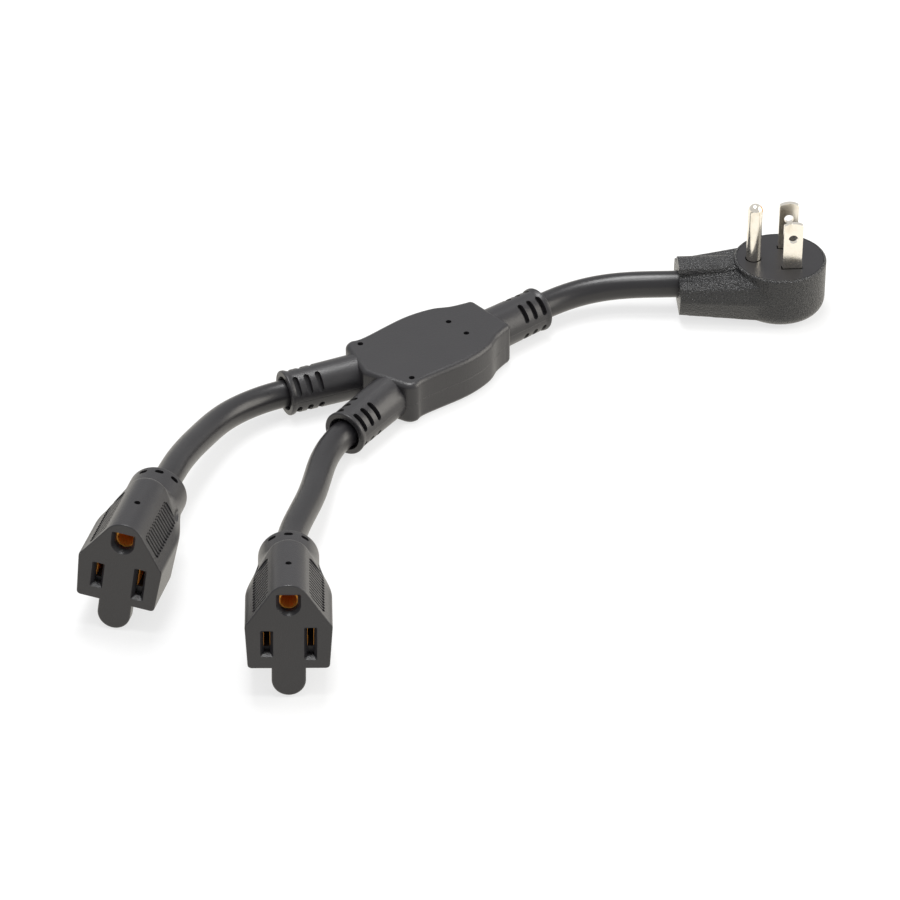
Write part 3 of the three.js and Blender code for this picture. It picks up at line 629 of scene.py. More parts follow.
@dataclass
class CordRoute:
    """One cord's line: straight out of the junction, loose, and straight into its far end."""

    entry: Matrix                 # the relief's frame, +X outwards
    relief_length: float
    free: tuple[Spot, ...]
    arrival: list[Vector]
    hold: float = 4.0             # jacket drawn inside the junction's face
    fine: int = 8                 # points between two knots, before they are evened out
    step: float = 1.4             # distance between two of the jacket's rings
    relaxed: int = 12             # rounds of smoothing

    def knots(self) -> list[Vector]:
        """The route's points in millimetres."""
        reach = (-self.hold, self.relief_length / 2, self.relief_length - STRAIGHT, self.relief_length,
                 self.relief_length + STRAIGHT)
        return [*(self.entry @ Vector((x, 0, 0)) for x in reach), *map(Vector, self.free), *self.arrival]

    def line(self) -> list[Vector]:
        """Works out the smooth centreline.

        Returns:
            Its points in millimetres, evenly stepped and relaxed.
        """
        rough = [Vector(p) for p in smooth_line([tuple(k) for k in self.knots()], self.fine)]
        line = [rough[0]]
        for a, b in zip(rough, rough[1:]):
            while (b - line[-1]).length >= self.step and (b - a).length > 0:
                line.append(line[-1] + (b - line[-1]).normalized() * self.step)
        line.append(rough[-1])
        for _ in range(self.relaxed):
            middle = [(a + 2 * b + c) / 4 for a, b, c in zip(line, line[1:], line[2:])]
            line = [line[0], *middle, line[-1]]
        return line

    def mouth(self) -> Vector:
        """Where the cord leaves the junction's strain relief."""
        return self.entry @ Vector((self.relief_length, 0, 0))


@dataclass
class Cord:
    """A round jacket over three wires."""

    name: str
    route: CordRoute
    diameter: float = 8.8
    wall: float = 0.8
    sides: int = 40

    def ring(self, place: tuple[Vector, Vector, Vector], radius: float) -> list[Spot]:
        """One circle round the centreline.

        Args:
            place: its middle and two directions across the cord.
            radius: its radius.

        Returns:
            Its places.
        """
        middle, side, up = place
        turns = arc((0, 0), radius, 0, 2 * math.pi, self.sides)[:-1]
        return [tuple(middle + side * x + up * y) for x, y in turns]

    def jacket(self) -> bpy.types.Object:
        """Builds the hollow jacket along its route.

        Returns:
            The jacket, still in millimetres.
        """
        line = self.route.line()
        frames = []
        across = Vector((0, 0, 1))
        for i, point in enumerate(line):
            along = (line[min(i + 1, len(line) - 1)] - line[max(i - 1, 0)]).normalized()
            across = (across - along * across.dot(along)).normalized()
            frames.append((point, across, along.cross(across)))
        outer = loft([self.ring(place, self.diameter / 2) for place in frames])
        inner = loft([self.ring(place, self.diameter / 2 - self.wall) for place in frames])
        return self.hollowed(outer, inner, line[0])

    def hollowed(self, outer: bmesh.types.BMesh, inner: bmesh.types.BMesh,
                 first: Vector) -> bpy.types.Object:
        """Takes the end caps off both skins and bridges their rims.

        Args:
            outer: the jacket's outside.
            inner: its inside.
            first: the centreline's first point.

        Returns:
            The jacket with its wall.
        """
        for skin in (outer, inner):
            caps = [f for f in skin.faces if len(f.verts) == self.sides]
            bmesh.ops.delete(skin, geom=caps, context="FACES_ONLY")
        bmesh.ops.reverse_faces(inner, faces=inner.faces)
        tube = gathered([outer, inner])
        rims = [e for e in tube.edges if e.is_boundary]
        for near in (True, False):
            ends = [e for e in rims if ((e.verts[0].co - first).length < 2 * self.diameter) == near]
            bmesh.ops.bridge_loops(tube, edges=ends)
        bmesh.ops.recalc_face_normals(tube, faces=tube.faces)
        return as_object(f"jacket_{self.name}", tube)

    def build(self, finishes: Finishes, far_end: str, on_it: Sequence[bpy.types.Object]) -> None:
        """Args:
            finishes: the splitter's finishes.
            on_it: the pieces at the cord's far end; not used.
        """
        line = self.route.line()
        piece = finished(self.jacket(), Matrix(), finishes.made["jacket"],
                         [f"cord_jacket_{self.name}"])
        tuple(self.route.mouth() * MM)


@dataclass
class Junction:
    """The moulded block with its three slotted strain reliefs, one piece of vinyl."""

    height: float = 14.7
    edge: float = 1.8             # rounding of the block's upper and lower edges
    vertex_x: float = -26.5       # the blunt point between the two branches
    shoulder: Point = (-21, 16.8)
    shoulder_radius: float = 3.0
    side: tuple[Point, ...] = ((-18, 16.8), (-13.5, 15.9), (3, 16.7), (13.5, 15), (19.5, 12))
    throat: Point = (25, 10.3)    # where the side meets the corner beside the plug's relief
    plug_end: Point = (27.3, 9)
    plug_end_radius: float = 2.4
    branch_angle: float = math.radians(16.2)
    branch_root: Point = (-23.4, 8.2)
    branch_length: float = 24.3   # of the two reliefs towards the sockets
    trunk_length: float = 20.0    # of the one towards the plug
    relief_root: float = 4.0      # how far a relief reaches into the block
    root_radius: float = 7.2
    mouth_radius: float = 6.9
    bead_radius: float = 7.3
    bead_round: float = 0.5       # rounding of the bead's outer edge
    bead: tuple[Point, ...] = ((2.6, 0), (1.7, 0.1), (1.2, 0.35))  # back from the end, over mouth_radius
    flare: tuple[Point, ...] = ((0, 0.9), (0.25, 0.65), (3.0, 0))  # back from the end, over the bore
    bore: float = 4.7
    bore_depth: float = 9.0       # how far a bore reaches into the block
    slot_rows: int = 4
    slots_in_row: int = 3
    slot_width: float = 1.85
    slot_span: float = math.radians(56)
    slot_floor: float = 4.9       # distance of a slot's floor from the relief's axis
    slot_pitch: float = 3.8
    first_slot: float = 2.7       # from the mouth back to the first slot's middle
    dimple: float = 1.9           # its diameter
    dimple_depth: float = 1.2
    dimple_spots: tuple[Point, ...] = ((-17.2, 12.8), (-17.2, -12.8), (12.7, 4.4), (12.7, -4.4))
    wire_space: tuple[Point, ...] = ((-17.5, -11.5), (19.3, -6.5), (19.3, 6.5), (-17.5, 11.5))
    wall: float = 3.0             # over and under the space for the wires
    facets: int = 72              # round a relief

    def entries(self) -> dict[str, tuple[Matrix, float]]:
        """Works out where the reliefs are.

        Returns:
            The three reliefs' frames, +X outwards, and their lengths, by cord name.
        """
        x, y = self.branch_root
        places = {"socket_a": (x, y, math.pi - self.branch_angle, self.branch_length),
                  "socket_b": (x, -y, self.branch_angle - math.pi, self.branch_length),
                  "plug": (self.plug_end[0], 0, 0, self.trunk_length)}
        return {name: (at(px, py, self.height / 2) @ turn_by(turn, "Z"), length)
                for name, (px, py, turn, length) in places.items()}

    def outline(self) -> list[Point]:
        """Draws the block's plan.

        Returns:
            Its points, anticlockwise from the corner beside the plug's relief.
        """
        facet_y = self.shoulder[1] - self.shoulder_radius
        facet_x = self.vertex_x + (self.shoulder[0] - self.vertex_x) * facet_y / self.shoulder[1]
        end_x, end_y = self.plug_end
        half = self.plug_end_radius / 2
        upper = corner((end_x, end_y - half), (end_x, end_y + half), self.throat, steps=8)
        flank = smooth_line([self.throat, *reversed(self.side)], steps=6)
        upper += flank[1:]
        upper += corner(self.side[0], self.shoulder, (facet_x, facet_y), steps=8)[1:]
        return [*upper, (self.vertex_x, 0), *mirrored(upper)]

    def relief(self, length: float) -> bmesh.types.BMesh:
        """One strain relief along +X, with a rounded bead round its mouth.

        Args:
            length: from the block's face to the mouth.

        Returns:
            The closed ring.
        """
        taper = [(length - back, self.mouth_radius + rise) for back, rise in self.bead]
        lip = arc((length - self.bead_round, self.bead_radius - self.bead_round), self.bead_round,
                  QUARTER, 0, steps=6)
        inside = [(length - back, self.bore + rise) for back, rise in self.flare]
        root = -self.relief_root
        return lathe([(root, self.bore), (root, self.root_radius), *taper, *lip, *inside], self.facets)

    def slots(self, length: float) -> list[bmesh.types.BMesh]:
        """Cutters for the slots of one relief.

        Args:
            length: the relief's length.

        Returns:
            One cutter for each slot.
        """
        end = self.slot_width / 2
        half = self.root_radius * math.sin(self.slot_span / 2) - end
        outline = [*arc((0, half), end, 0, math.pi, steps=10),
                   *arc((0, -half), end, math.pi, 2 * math.pi, steps=10)]
        cutters = []
        for row in range(self.slot_rows):
            turn = turn_by(math.pi * (1 + 2 * row) / self.slot_rows, "X")
            for slot in range(self.slots_in_row):
                cutter = prism(outline, self.slot_floor, self.bead_radius + OVERRUN)
                x = length - self.first_slot - slot * self.slot_pitch
                cutters.append(moved(cutter, turn @ at(x, 0, 0)))
        return cutters

    def dimples(self) -> list[bmesh.types.BMesh]:
        """Cutters for the four dimples in the top.

        Returns:
            One cutter for each dimple.
        """
        floor = self.height - self.dimple_depth
        return [moved(upright(rod(self.dimple / 2, floor, self.height + OVERRUN, steps=24)), at(x, y, 0))
                for x, y in self.dimple_spots]

    def build(self, finishes: Finishes) -> bpy.types.Object:
        """Builds the junction and dresses it and the crimps inside.

        Args:
            finishes: the splitter's finishes.

        Returns:
            The junction.
        """
        block = prism(self.outline(), 0, self.height, self.edge, segments=7)
        piece = as_object("junction_overmould", block)
        entries = self.entries().values()
        carve(piece, Cut.JOIN, [moved(self.relief(length), place) for place, length in entries])
        tools = [prism(self.wire_space, self.wall, self.height - self.wall)]
        for place, length in entries:
            bore_end = length - self.flare[-1][0]
            tools.append(moved(rod(self.bore, -self.bore_depth, bore_end, self.facets), place))
            tools.append(moved(gathered(self.slots(length)), place))
        carve(piece, Cut.REMOVE, [*tools, gathered(self.dimples())])
        for role in WireRole:
            dress(f"crimp_{role.value}", finishes.made["copper"])
        return finished(piece, Matrix(), finishes.made["hub"], ["hub_overmould"])


@dataclass
class Plug:
    """The flat plug: a grained body, a smooth carrier and three prongs."""

    x: float = 116.58
    y: float = -41.19
    turn: float = math.radians(-37.34)
    radius: float = 15.2
    height: float = 18.6
    bottom_radius: float = 5.0    # rounding of the head's lower edge
    length: float = 33.6          # from the face's centre to the neck's end
    cord_height: float = 9.5
    neck_half: float = 11.2       # half of the neck's width at its end
    neck_corner: float = 1.2
    neck_flat: float = 0.45       # flat part of the neck's underside, as a share of its half width
    neck_shares: tuple[float, ...] = (1.06, 0.9, 0.75, 0.6, 0.45, 0.3, 0.15)  # where its rings lie
    shoulder_drop: float = 4.0    # from the parting line to either shoulder
    neck_top: float = 14.5
    neck_bottom: float = 2.8
    root_top: float = 17.0        # height of the neck where it leaves the head
    parting: float = 9.3
    spine_half: float = 4.7
    spine_top: float = 18.3
    spine_edge: float = 2.6
    bore: float = 4.7
    hold: float = 11.0            # length of jacket inside the neck
    inside_bottom: float = 5.0
    wire_half: float = 8.0        # half width of the space for the wires
    wire_top: float = 13.0
    carrier_radius: float = 14.2
    carrier_thickness: float = 4.0
    boss_radius: float = 12.2
    gap: float = 0.3
    blade_x: float = 3.07
    blade_y: float = 6.35
    blade_width: float = 6.3
    blade_thickness: float = 1.5
    blade_length: float = 17.1
    blade_edge: float = 0.16
    blade_hole: float = 3.1
    blade_hole_height: float = 11.2
    tip_radius: float = 5.6       # radius of the blade's arched tip
    tip_corner: Point = (0.5, 0.7)  # rounding where the arch meets the sides, across and down
    tail_bottom: float = 6.6      # how far down the prongs reach inside the plug
    ground_x: float = -8.83
    ground_diameter: float = 4.8
    ground_length: float = 20.6
    groove_back: float = 0.5      # from the dome's root down to the turned line
    groove_half: float = 0.12
    groove_depth: float = 0.02
    voxel: float = 0.34           # mesh size while the body's edges are softened
    soft_rounds: int = 10
    soft_factor: float = 0.5
    spare: float = 2.0            # extra length and height that is trimmed off to leave crisp ends
    trim: float = 5.0             # how far the trims reach above and below the body
    trim_side: float = 30.0       # and beside it
    rim_round: float = 0.7
    rim_clear: float = 0.02       # keeps the rim's trim off the head's side
    facets: int = 144             # round the head

    def place(self) -> Matrix:
        """The plug's frame: origin under the face's centre, -X towards the cord."""
        return at(self.x, self.y, 0) @ turn_by(self.turn, "Z")

    def arrival(self) -> list[Vector]:
        """The end of the cord's route, straight into the neck."""
        reach = (self.length + STRAIGHT, self.length, self.length - STRAIGHT,
                 self.length - self.hold + self.gap)
        return [self.place() @ Vector((-x, 0, self.cord_height)) for x in reach]

    def disc(self) -> bmesh.types.BMesh:
        """The round head with its rolled lower edge.

        Returns:
            The head, with spare height on top.
        """
        roll = arc((self.bottom_radius, self.radius - self.bottom_radius), self.bottom_radius, math.pi,
                   QUARTER, steps=12)
        top = self.height + self.spare
        return upright(lathe([(0, 0), *roll, (top, self.radius), (top, 0)], self.facets))

    def neck_ring(self, distance: float) -> list[Spot]:
        """A rounded flattened hexagon across the neck.

        Args:
            distance: from the face's centre towards the cord.

        Returns:
            The ring's places.
        """
        along = distance / self.length
        half = self.radius + (self.neck_half - self.radius) * along
        root_top = self.root_top + (self.height - self.root_top) / 2
        top = root_top + (self.neck_top - root_top) * along
        bottom = self.neck_bottom * along
        low_shoulder = self.parting - self.shoulder_drop
        high_start = top - self.neck_corner
        high_shoulder = high_start + (self.parting + self.shoulder_drop - high_start) * along
        soft = self.neck_corner
        right = [(half * self.neck_flat, bottom),
                 (half - 2 * soft, (bottom + low_shoulder) / 2 - soft),
                 (half - soft, low_shoulder), (half, self.parting), (half - soft, high_shoulder),
                 (half - 3 * soft, top), (self.spine_half, top)]
        return [(-distance, y, z) for y, z in [*right, *flipped(right)]]

    def spine(self) -> bmesh.types.BMesh:
        """The raised rib along the neck's middle.

        Returns:
            The rib, with spare length at the cord's end.
        """
        half, top, edge = self.spine_half, self.spine_top, self.spine_edge
        rim = [(half, self.parting), *corner((half, top - edge), (half, top), (half - edge, top), steps=6)]
        ends = (-self.length - self.spare, -self.radius / 2)
        return loft([[(x, y, z) for y, z in [*rim, *flipped(rim)]] for x in ends])

    def trims(self) -> list[bmesh.types.BMesh]:
        """Cutters that leave the head's rounded upper edge and the neck's flat end.

        Returns:
            The ring over the head and the block behind the neck.
        """
        edge = self.height - self.rim_round
        outside, above, side = self.radius + self.spare, self.height + self.trim, self.trim_side
        rim = [(edge, outside), (edge, self.radius + self.rim_clear),
               *arc((edge, self.radius - self.rim_round), self.rim_round, QUARTER, 0, steps=6),
               (self.height, 0), (above, 0), (above, outside)]
        return [upright(lathe(rim, self.facets)),
                cuboid((-2 * side, -side, -self.trim), (-self.length, side, side))]

    def insides(self) -> list[bmesh.types.BMesh]:
        """Cutters for the carrier's seat, the space for the wires and the cord's bore.

        Returns:
            The well, the space under it, the space for the wires and the bore.
        """
        floor = self.height - self.carrier_thickness
        jacket_end = -self.length + self.hold
        well = rod(self.carrier_radius + self.gap / 4, floor - self.gap, self.height + OVERRUN,
                   self.facets)
        deep = rod(self.boss_radius + self.gap, self.inside_bottom, floor, steps=72)
        space = cuboid((jacket_end - OVERRUN, -self.wire_half, self.inside_bottom),
                       (0, self.wire_half, self.wire_top))
        bore = rod(self.bore, -self.length - OVERRUN, jacket_end, steps=64)
        return [upright(well), upright(deep), space, moved(bore, at(0, 0, self.cord_height))]

    def body(self, finishes: Finishes) -> bpy.types.Object:
        """Builds the grained body, with its edges softened before the bores are cut.

        Args:
            finishes: the splitter's finishes.

        Returns:
            The body.
        """
        piece = as_object("plug_overmould", self.disc())
        rings = [self.neck_ring(self.length * share) for share in self.neck_shares]
        carve(piece, Cut.JOIN, [loft(rings), self.spine()])
        skin = piece.modifiers.new("skin", "REMESH")
        skin.mode = "VOXEL"
        skin.voxel_size = self.voxel
        soft = piece.modifiers.new("soft", "SMOOTH")
        soft.factor = self.soft_factor
        soft.iterations = self.soft_rounds
        settle(piece)
        carve(piece, Cut.REMOVE, [*self.trims(), *self.insides()])
        return finished(piece, self.place(), finishes.made["plug"], ["plug_body"],
                        crease=40)

    def blade(self, name: str, y: float, finishes: Finishes) -> bpy.types.Object:
        """A flat blade with a round hole and an arched, rounded tip.

        Args:
            name: the CAD node that it stands for.
            y: its place across the plug.
            finishes: the splitter's finishes.

        Returns:
            The blade.
        """
        half, thick = self.blade_width / 2, self.blade_thickness / 2
        across, down = self.tip_corner
        lean = math.asin((half - across) / self.tip_radius)
        centre = self.height + self.blade_length - self.tip_radius
        crown = arc((0, centre), self.tip_radius, QUARTER - lean, QUARTER + lean, steps=12)
        level = crown[0][1]
        turn = corner((half, level - down), (half, level), crown[0], steps=4)
        outline = [(-half, self.tail_bottom), (half, self.tail_bottom), *turn, *crown[1:-1], *flipped(turn)]
        flat = prism(outline, -thick, thick, self.blade_edge, segments=3)
        piece = as_object(name.replace("blade", "flat_blade"), moved(flat, turn_by(QUARTER, "X")))
        hole = moved(rod(self.blade_hole / 2, -2 * thick, 2 * thick, steps=40), turn_by(QUARTER, "Z"))
        carve(piece, Cut.REMOVE, [moved(hole, at(0, 0, self.height + self.blade_hole_height))])
        return finished(piece, self.place() @ at(self.blade_x, y, 0), finishes.made["nickel"],
                        [name], crease=25)

    def ground(self, finishes: Finishes) -> bpy.types.Object:
        """The round ground prong, domed above a fine turned line.

        Args:
            finishes: the splitter's finishes.

        Returns:
            The prong.
        """
        radius = self.ground_diameter / 2
        top = self.height + self.ground_length
        dome = arc((top - radius, 0), radius, QUARTER, 0, steps=14)
        groove = top - radius - self.groove_back
        profile = [(self.tail_bottom, 0), (self.tail_bottom, radius), (groove - self.groove_half, radius),
                   (groove, radius - self.groove_depth), (groove + self.groove_half, radius), *dome[:-1],
                   (top, 0)]
        piece = as_object("round_prong", upright(lathe(profile, steps=64)))
        return finished(piece, self.place() @ at(self.ground_x, 0, 0), finishes.made["prong"],
                        ["ground_prong"], crease=40)

    def build(self, finishes: Finishes) -> list[bpy.types.Object]:
        """Builds the plug.

        Args:
            finishes: the splitter's finishes.

        Returns:
            Its pieces.
        """
        carrier = dress("prong_carrier", finishes.made["carrier"])
        return [self.body(finishes), carrier, self.blade("blade_line", self.blade_y, finishes),
                self.blade("blade_neutral", -self.blade_y, finishes), self.ground(finishes)]


@dataclass
class Socket:
    """One moulded socket with its slotted face, pull tab, ribbed grip and vented collar."""

    letter: str
    x: float
    y: float
    z: float                      # height at which its lowest point touches the table
    turn: float                   # degrees about the upright axis
    lift: float                   # degrees that its face is raised over its collar
    roll: float                   # degrees about its own length
    half_width: float = 12.8
    foot: float = 12.0            # half of the face's width at its lower edge
    bottom: float = -9.0
    foot_radius: float = 1.4
    knee_below: Point = (0.06, 1.2)  # rounding where the flank meets the slope, inwards and down
    knee_above: Point = (0.9, 0.65)  # and inwards and up
    arch_centre: float = 12.1
    arch_radius: float = 6.4
    slope: float = math.radians(54)
    axis: float = 4.6             # height of the cord's axis over the slots
    length: float = 43.0
    longest: float = 0.9          # longest stretch between two points of the outline
    longest_inside: float = 3.0   # and of the hollow's
    flank_start: float = 18.0     # where the flanks start to turn into the round collar
    flank_end: float = 38.0
    crest_start: float = 27.5     # and where the crest does
    crest_end: float = 33.5
    plain_step: float = 2.0       # distance between rings before the turn
    turn_step: float = 0.5        # and along it
    last_back: float = 40.5       # a last ring before the collar's end
    collar_radius: float = 9.1
    collar_edge: float = 0.7
    face_edge: float = 0.4
    face_shrink: float = 6.0      # the face's edge rounds in fully this far from the axis
    edge_steps: int = 5
    face_wall: float = 3.0
    wall: float = 2.4
    hold: float = 12.0            # length of jacket inside the collar
    gap: float = 0.3
    bore: float = 4.7
    block_end: float = 25.0       # where the block that holds the contacts ends
    tab_half: float = 5.0
    tab_bottom: float = -18.1
    tab_thickness: float = 4.2
    tab_edge: float = 0.7
    slot_u: float = 6.35          # places across the face are u, and places up it are w
    slot_w: float = -0.8
    slot_width: float = 1.9
    slot_heights: tuple[float, float] = (6.7, 8.8)  # the left slot's and the right one's
    slot_corner: float = 0.35
    lead_in: float = 1.0
    lead_in_depth: float = 1.6
    lead_in_foot: tuple[Point, ...] = ((0.8, 0.08), (1.1, 0))  # share of its depth, and width left there
    ground_w: float = 11.9
    ground_width: float = 5.35
    ground_rise: float = 5.2
    ground_corner: float = 0.5
    rib_start: float = 3.2        # from the face back to the first groove
    rib_pitch: float = 1.65
    rib_count: int = 13
    rib_width: float = 0.95
    rib_depth: float = 1.15
    rib_high: float = 1.5         # plain slope left above the grooves
    rib_low: float = 3.6          # plain slope left below them
    panel_depth: float = 0.5
    panel_corner: float = 1.0
    panel_lip: float = 0.5        # how far the grooves run past the recessed panel's edges
    panel_clear: float = 3.0      # how far the panel's cutter stands out of the slope
    scoop_spot: Spot = (11.6, 28.5, 9.6)
    scoop_size: Spot = (2.6, 5.5, 3.4)  # half of its size each way
    vent_turn: float = math.radians(33)
    vent_back: float = 40.3
    vent_width: float = 2.74
    vent_length: float = 1.6
    vent_depth: float = 1.5
    dimple: float = 1.9           # its diameter
    dimple_depth: float = 1.2
    dimple_back: float = 13.5

    def place(self) -> Matrix:
        """Works out where the socket lies.

        Returns:
            Its frame, with the origin between the slots, +Y back along the body and +Z up.
        """
        degrees = ((self.turn, "Z"), (-self.lift, "X"), (self.roll, "Y"))
        turn, lift, roll = (turn_by(math.radians(angle), axis) for angle, axis in degrees)
        return at(self.x, self.y, self.z) @ turn @ lift @ roll

    def arrival(self) -> list[Vector]:
        """The end of the cord's route, straight into the collar."""
        reach = (self.length + STRAIGHT, self.length, self.length - STRAIGHT,
                 self.length - self.hold + self.gap)
        return [self.place() @ Vector((0, y, self.axis)) for y in reach]

    def shoulder(self, inset: float) -> tuple[Point, Point]:
        """Finds the two ends of the sloping side.

        Args:
            inset: how far the outline is moved in.

        Returns:
            Where the slope starts on the flank and where it meets the arch.
        """
        nx, ny = math.sin(self.slope), math.cos(self.slope)
        reach = self.arch_centre * ny + self.arch_radius - inset
        half, radius = self.half_width - inset, self.arch_radius - inset
        return (half, (reach - nx * half) / ny), (radius * nx, self.arch_centre + radius * ny)

    def outline(self, inset: float, longest: float) -> list[Point]:
        """Draws the face's outline.

        Args:
            inset: how far it is moved in.
            longest: the longest stretch between two of its points.

        Returns:
            Its points, anticlockwise from the foot.
        """
        low = self.shoulder(inset)[0]
        foot, bottom = self.foot - inset, self.bottom + inset
        soft = min(self.foot_radius, foot / 2)
        side = corner((foot - soft, bottom), (foot, bottom), (foot, bottom + soft), steps=8)
        below = (low[0] - self.knee_below[0], low[1] - self.knee_below[1])
        above = (low[0] - self.knee_above[0], low[1] + self.knee_above[1])
        crown = arc((0, self.arch_centre), self.arch_radius - inset, QUARTER - self.slope, QUARTER,
                    steps=16)
        right = [*side, *corner(below, low, above, steps=5), *crown]
        return divided([*right, *flipped(right[:-1])], longest)

    def ring(self, points: Sequence[Point], back: float, radius: float,
             turned: Callable[[Point], float]) -> list[Spot]:
        """The outline at one depth, part of the way into the round collar.

        Args:
            points: the face's outline.
            back: depth behind the face.
            radius: the collar's radius.
            turned: how far each point has turned round, 0 to 1.

        Returns:
            The ring's places.
        """
        ring = []
        for u, w in points:
            away = math.hypot(u, w - self.axis)
            share = turned((u, w))
            round_u, round_w = u * radius / away, self.axis + (w - self.axis) * radius / away
            ring.append((u + (round_u - u) * share, back, w + (round_w - w) * share))
        return ring

    def turned_at(self, back: float) -> Callable[[Point], float]:
        """How far the outline has turned into the collar; the raised crest turns last.

        Args:
            back: depth behind the face.

        Returns:
            A function that gives one point's share of the turn, 0 to 1.
        """
        low, high = self.shoulder(0)

        def turned(point: Point) -> float:
            """How far one point has turned.

            Args:
                point: a point of the face's outline.

            Returns:
                Its share of the turn, 0 to 1.
            """
            share = blend_between(point[1], low[1], high[1])
            start = self.flank_start + (self.crest_start - self.flank_start) * share
            end = self.flank_end + (self.crest_end - self.flank_end) * share
            return blend_between(back, start, end)

        return turned

    def face_ring(self, points: Sequence[Point], turn: float) -> list[Spot]:
        """One ring of the soft edge round the face.

        Args:
            points: the face's outline.
            turn: how far the edge has turned, in radians from the face.

        Returns:
            The ring's places.
        """
        inset = self.face_edge * (1 - math.sin(turn))
        back = self.face_edge * (1 - math.cos(turn))
        ring = []
        for u, w in points:
            inwards = math.copysign(inset, w - self.axis) * min(1.0, abs(w - self.axis) / self.face_shrink)
            ring.append((u * (1 - inset / self.half_width), back, w - inwards))
        return ring

    def skin(self) -> bmesh.types.BMesh:
        """The outer skin, from the soft edge round the face to the collar's rim.

        Returns:
            The closed skin.
        """
        points = self.outline(0, self.longest)
        turns = [QUARTER * i / self.edge_steps for i in range(self.edge_steps + 1)]
        plain = [self.plain_step * i for i in range(1, round(self.flank_start / self.plain_step))]
        steps = round((self.flank_end - self.flank_start) / self.turn_step)
        turning = [self.flank_start + self.turn_step * i for i in range(steps + 1)]
        rings = [self.face_ring(points, turn) for turn in turns]
        rings += [self.ring(points, back, self.collar_radius, self.turned_at(back))
                  for back in [*plain, *turning, self.last_back]]
        for turn in turns:
            radius = self.collar_radius - self.collar_edge * (1 - math.cos(turn))
            back = self.length - self.collar_edge * (1 - math.sin(turn))
            rings.append(self.ring(points, back, radius, lambda point: 1.0))
        return loft(rings)

    def facing(self, mesh: bmesh.types.BMesh) -> bmesh.types.BMesh:
        """Turns a prism drawn in plan so that its plan lies in the face and its height runs back."""
        return moved(mesh, Matrix(((1, 0, 0, 0), (0, 0, 1, 0), (0, 1, 0, 0), (0, 0, 0, 1))))

    def tab(self) -> bmesh.types.BMesh:
        """The pull tab under the face, with soft edges.

        Returns:
            The tab, which reaches into the body.
        """
        top = self.bottom + self.face_wall
        tip = arc((0, self.tab_bottom + self.tab_half), self.tab_half, math.pi, 2 * math.pi, steps=36)
        outline = [(self.tab_half, top), (-self.tab_half, top), *tip]
        return self.facing(prism(outline, 0, self.tab_thickness, self.tab_edge, segments=5))

    def opening(self, outline_of: Callable[[float], list[Point]]) -> bmesh.types.BMesh:
        """A cutter through the face wall with a lead-in at its mouth.

        Args:
            outline_of: gives the opening's outline, grown by a distance.

        Returns:
            The closed cutter.
        """
        mouth = self.lead_in * (1 + OVERRUN / self.lead_in_depth)
        sections = [(-OVERRUN, mouth),
                    *[(self.lead_in_depth * share, grow) for share, grow in self.lead_in_foot],
                    (self.face_wall + OVERRUN, 0)]
        return loft([[(u, back, w) for u, w in outline_of(grow)] for back, grow in sections])

    def slot(self, u: float, height: float) -> bmesh.types.BMesh:
        """The cutter of one blade slot.

        Args:
            u: the slot's place across the face.
            height: how tall it is.

        Returns:
            The closed cutter.
        """
        def outline(grow: float) -> list[Point]:
            """The slot's rounded oblong.

            Args:
                grow: how much larger it is all round.

            Returns:
                Its points.
            """
            half, rise, soft = self.slot_width / 2 + grow, height / 2 + grow, self.slot_corner
            right = [*corner((half - soft, -rise), (half, -rise), (half, -rise + soft), steps=4),
                     *corner((half, rise - soft), (half, rise), (half - soft, rise), steps=4)]
            return [(u + x, self.slot_w + y) for x, y in [*right, *flipped(right)]]

        return self.opening(outline)

    def ground_hole(self) -> bmesh.types.BMesh:
        """The cutter of the U-shaped ground hole, flat at the top.

        Returns:
            The closed cutter.
        """
        centre = self.ground_w + (self.ground_width - self.ground_rise) / 2

        def outline(grow: float) -> list[Point]:
            """The hole's outline.

            Args:
                grow: how much larger it is all round.

            Returns:
                Its points.
            """
            half, soft = self.ground_width / 2 + grow, self.ground_corner
            top = self.ground_w + self.ground_rise / 2 + grow
            right = corner((half, top - soft), (half, top), (half - soft, top), steps=4)
            return [*arc((0, centre), half, math.pi, 2 * math.pi, steps=24), *right, *flipped(right)]

        return self.opening(outline)

    def on_slope(self, side: int) -> Matrix:
        """The frame on the middle of one sloping side.

        Args:
            side: 1 for the right one, -1 for the left one.

        Returns:
            The frame, with X down the right slope or up the left one, Y back and Z outwards.
        """
        low, high = self.shoulder(0)
        middle = at(side * (low[0] + high[0]) / 2, 0, (low[1] + high[1]) / 2)
        return middle @ turn_by(side * self.slope, "Y")

    def grooved(self, inset: float) -> tuple[float, float]:
        """The stretch of the slope that the grooves take up.

        Args:
            inset: how much shorter it is at each end.

        Returns:
            Its upper and its lower end, counted down from the slope's middle.
        """
        slope = math.dist(*self.shoulder(0)) / 2 - inset
        return self.rib_high - slope, slope - self.rib_low

    def ribs(self) -> list[bmesh.types.BMesh]:
        """Cutters for the fine grooves across both sloping sides.

        Returns:
            One cutter for each groove.
        """
        half = self.rib_width / 2
        section = arc((0, 0), half, 0, 2 * math.pi, steps=10)[:-1]
        cutters = []
        for side in (-1, 1):
            for rib in range(self.rib_count):
                back = self.rib_start + rib * self.rib_pitch
                bar = [[(side * x, y, z * self.rib_depth / half) for y, z in section]
                       for x in self.grooved(0)]
                cutters.append(moved(loft(bar), self.on_slope(side) @ at(0, back, 0)))
        return cutters

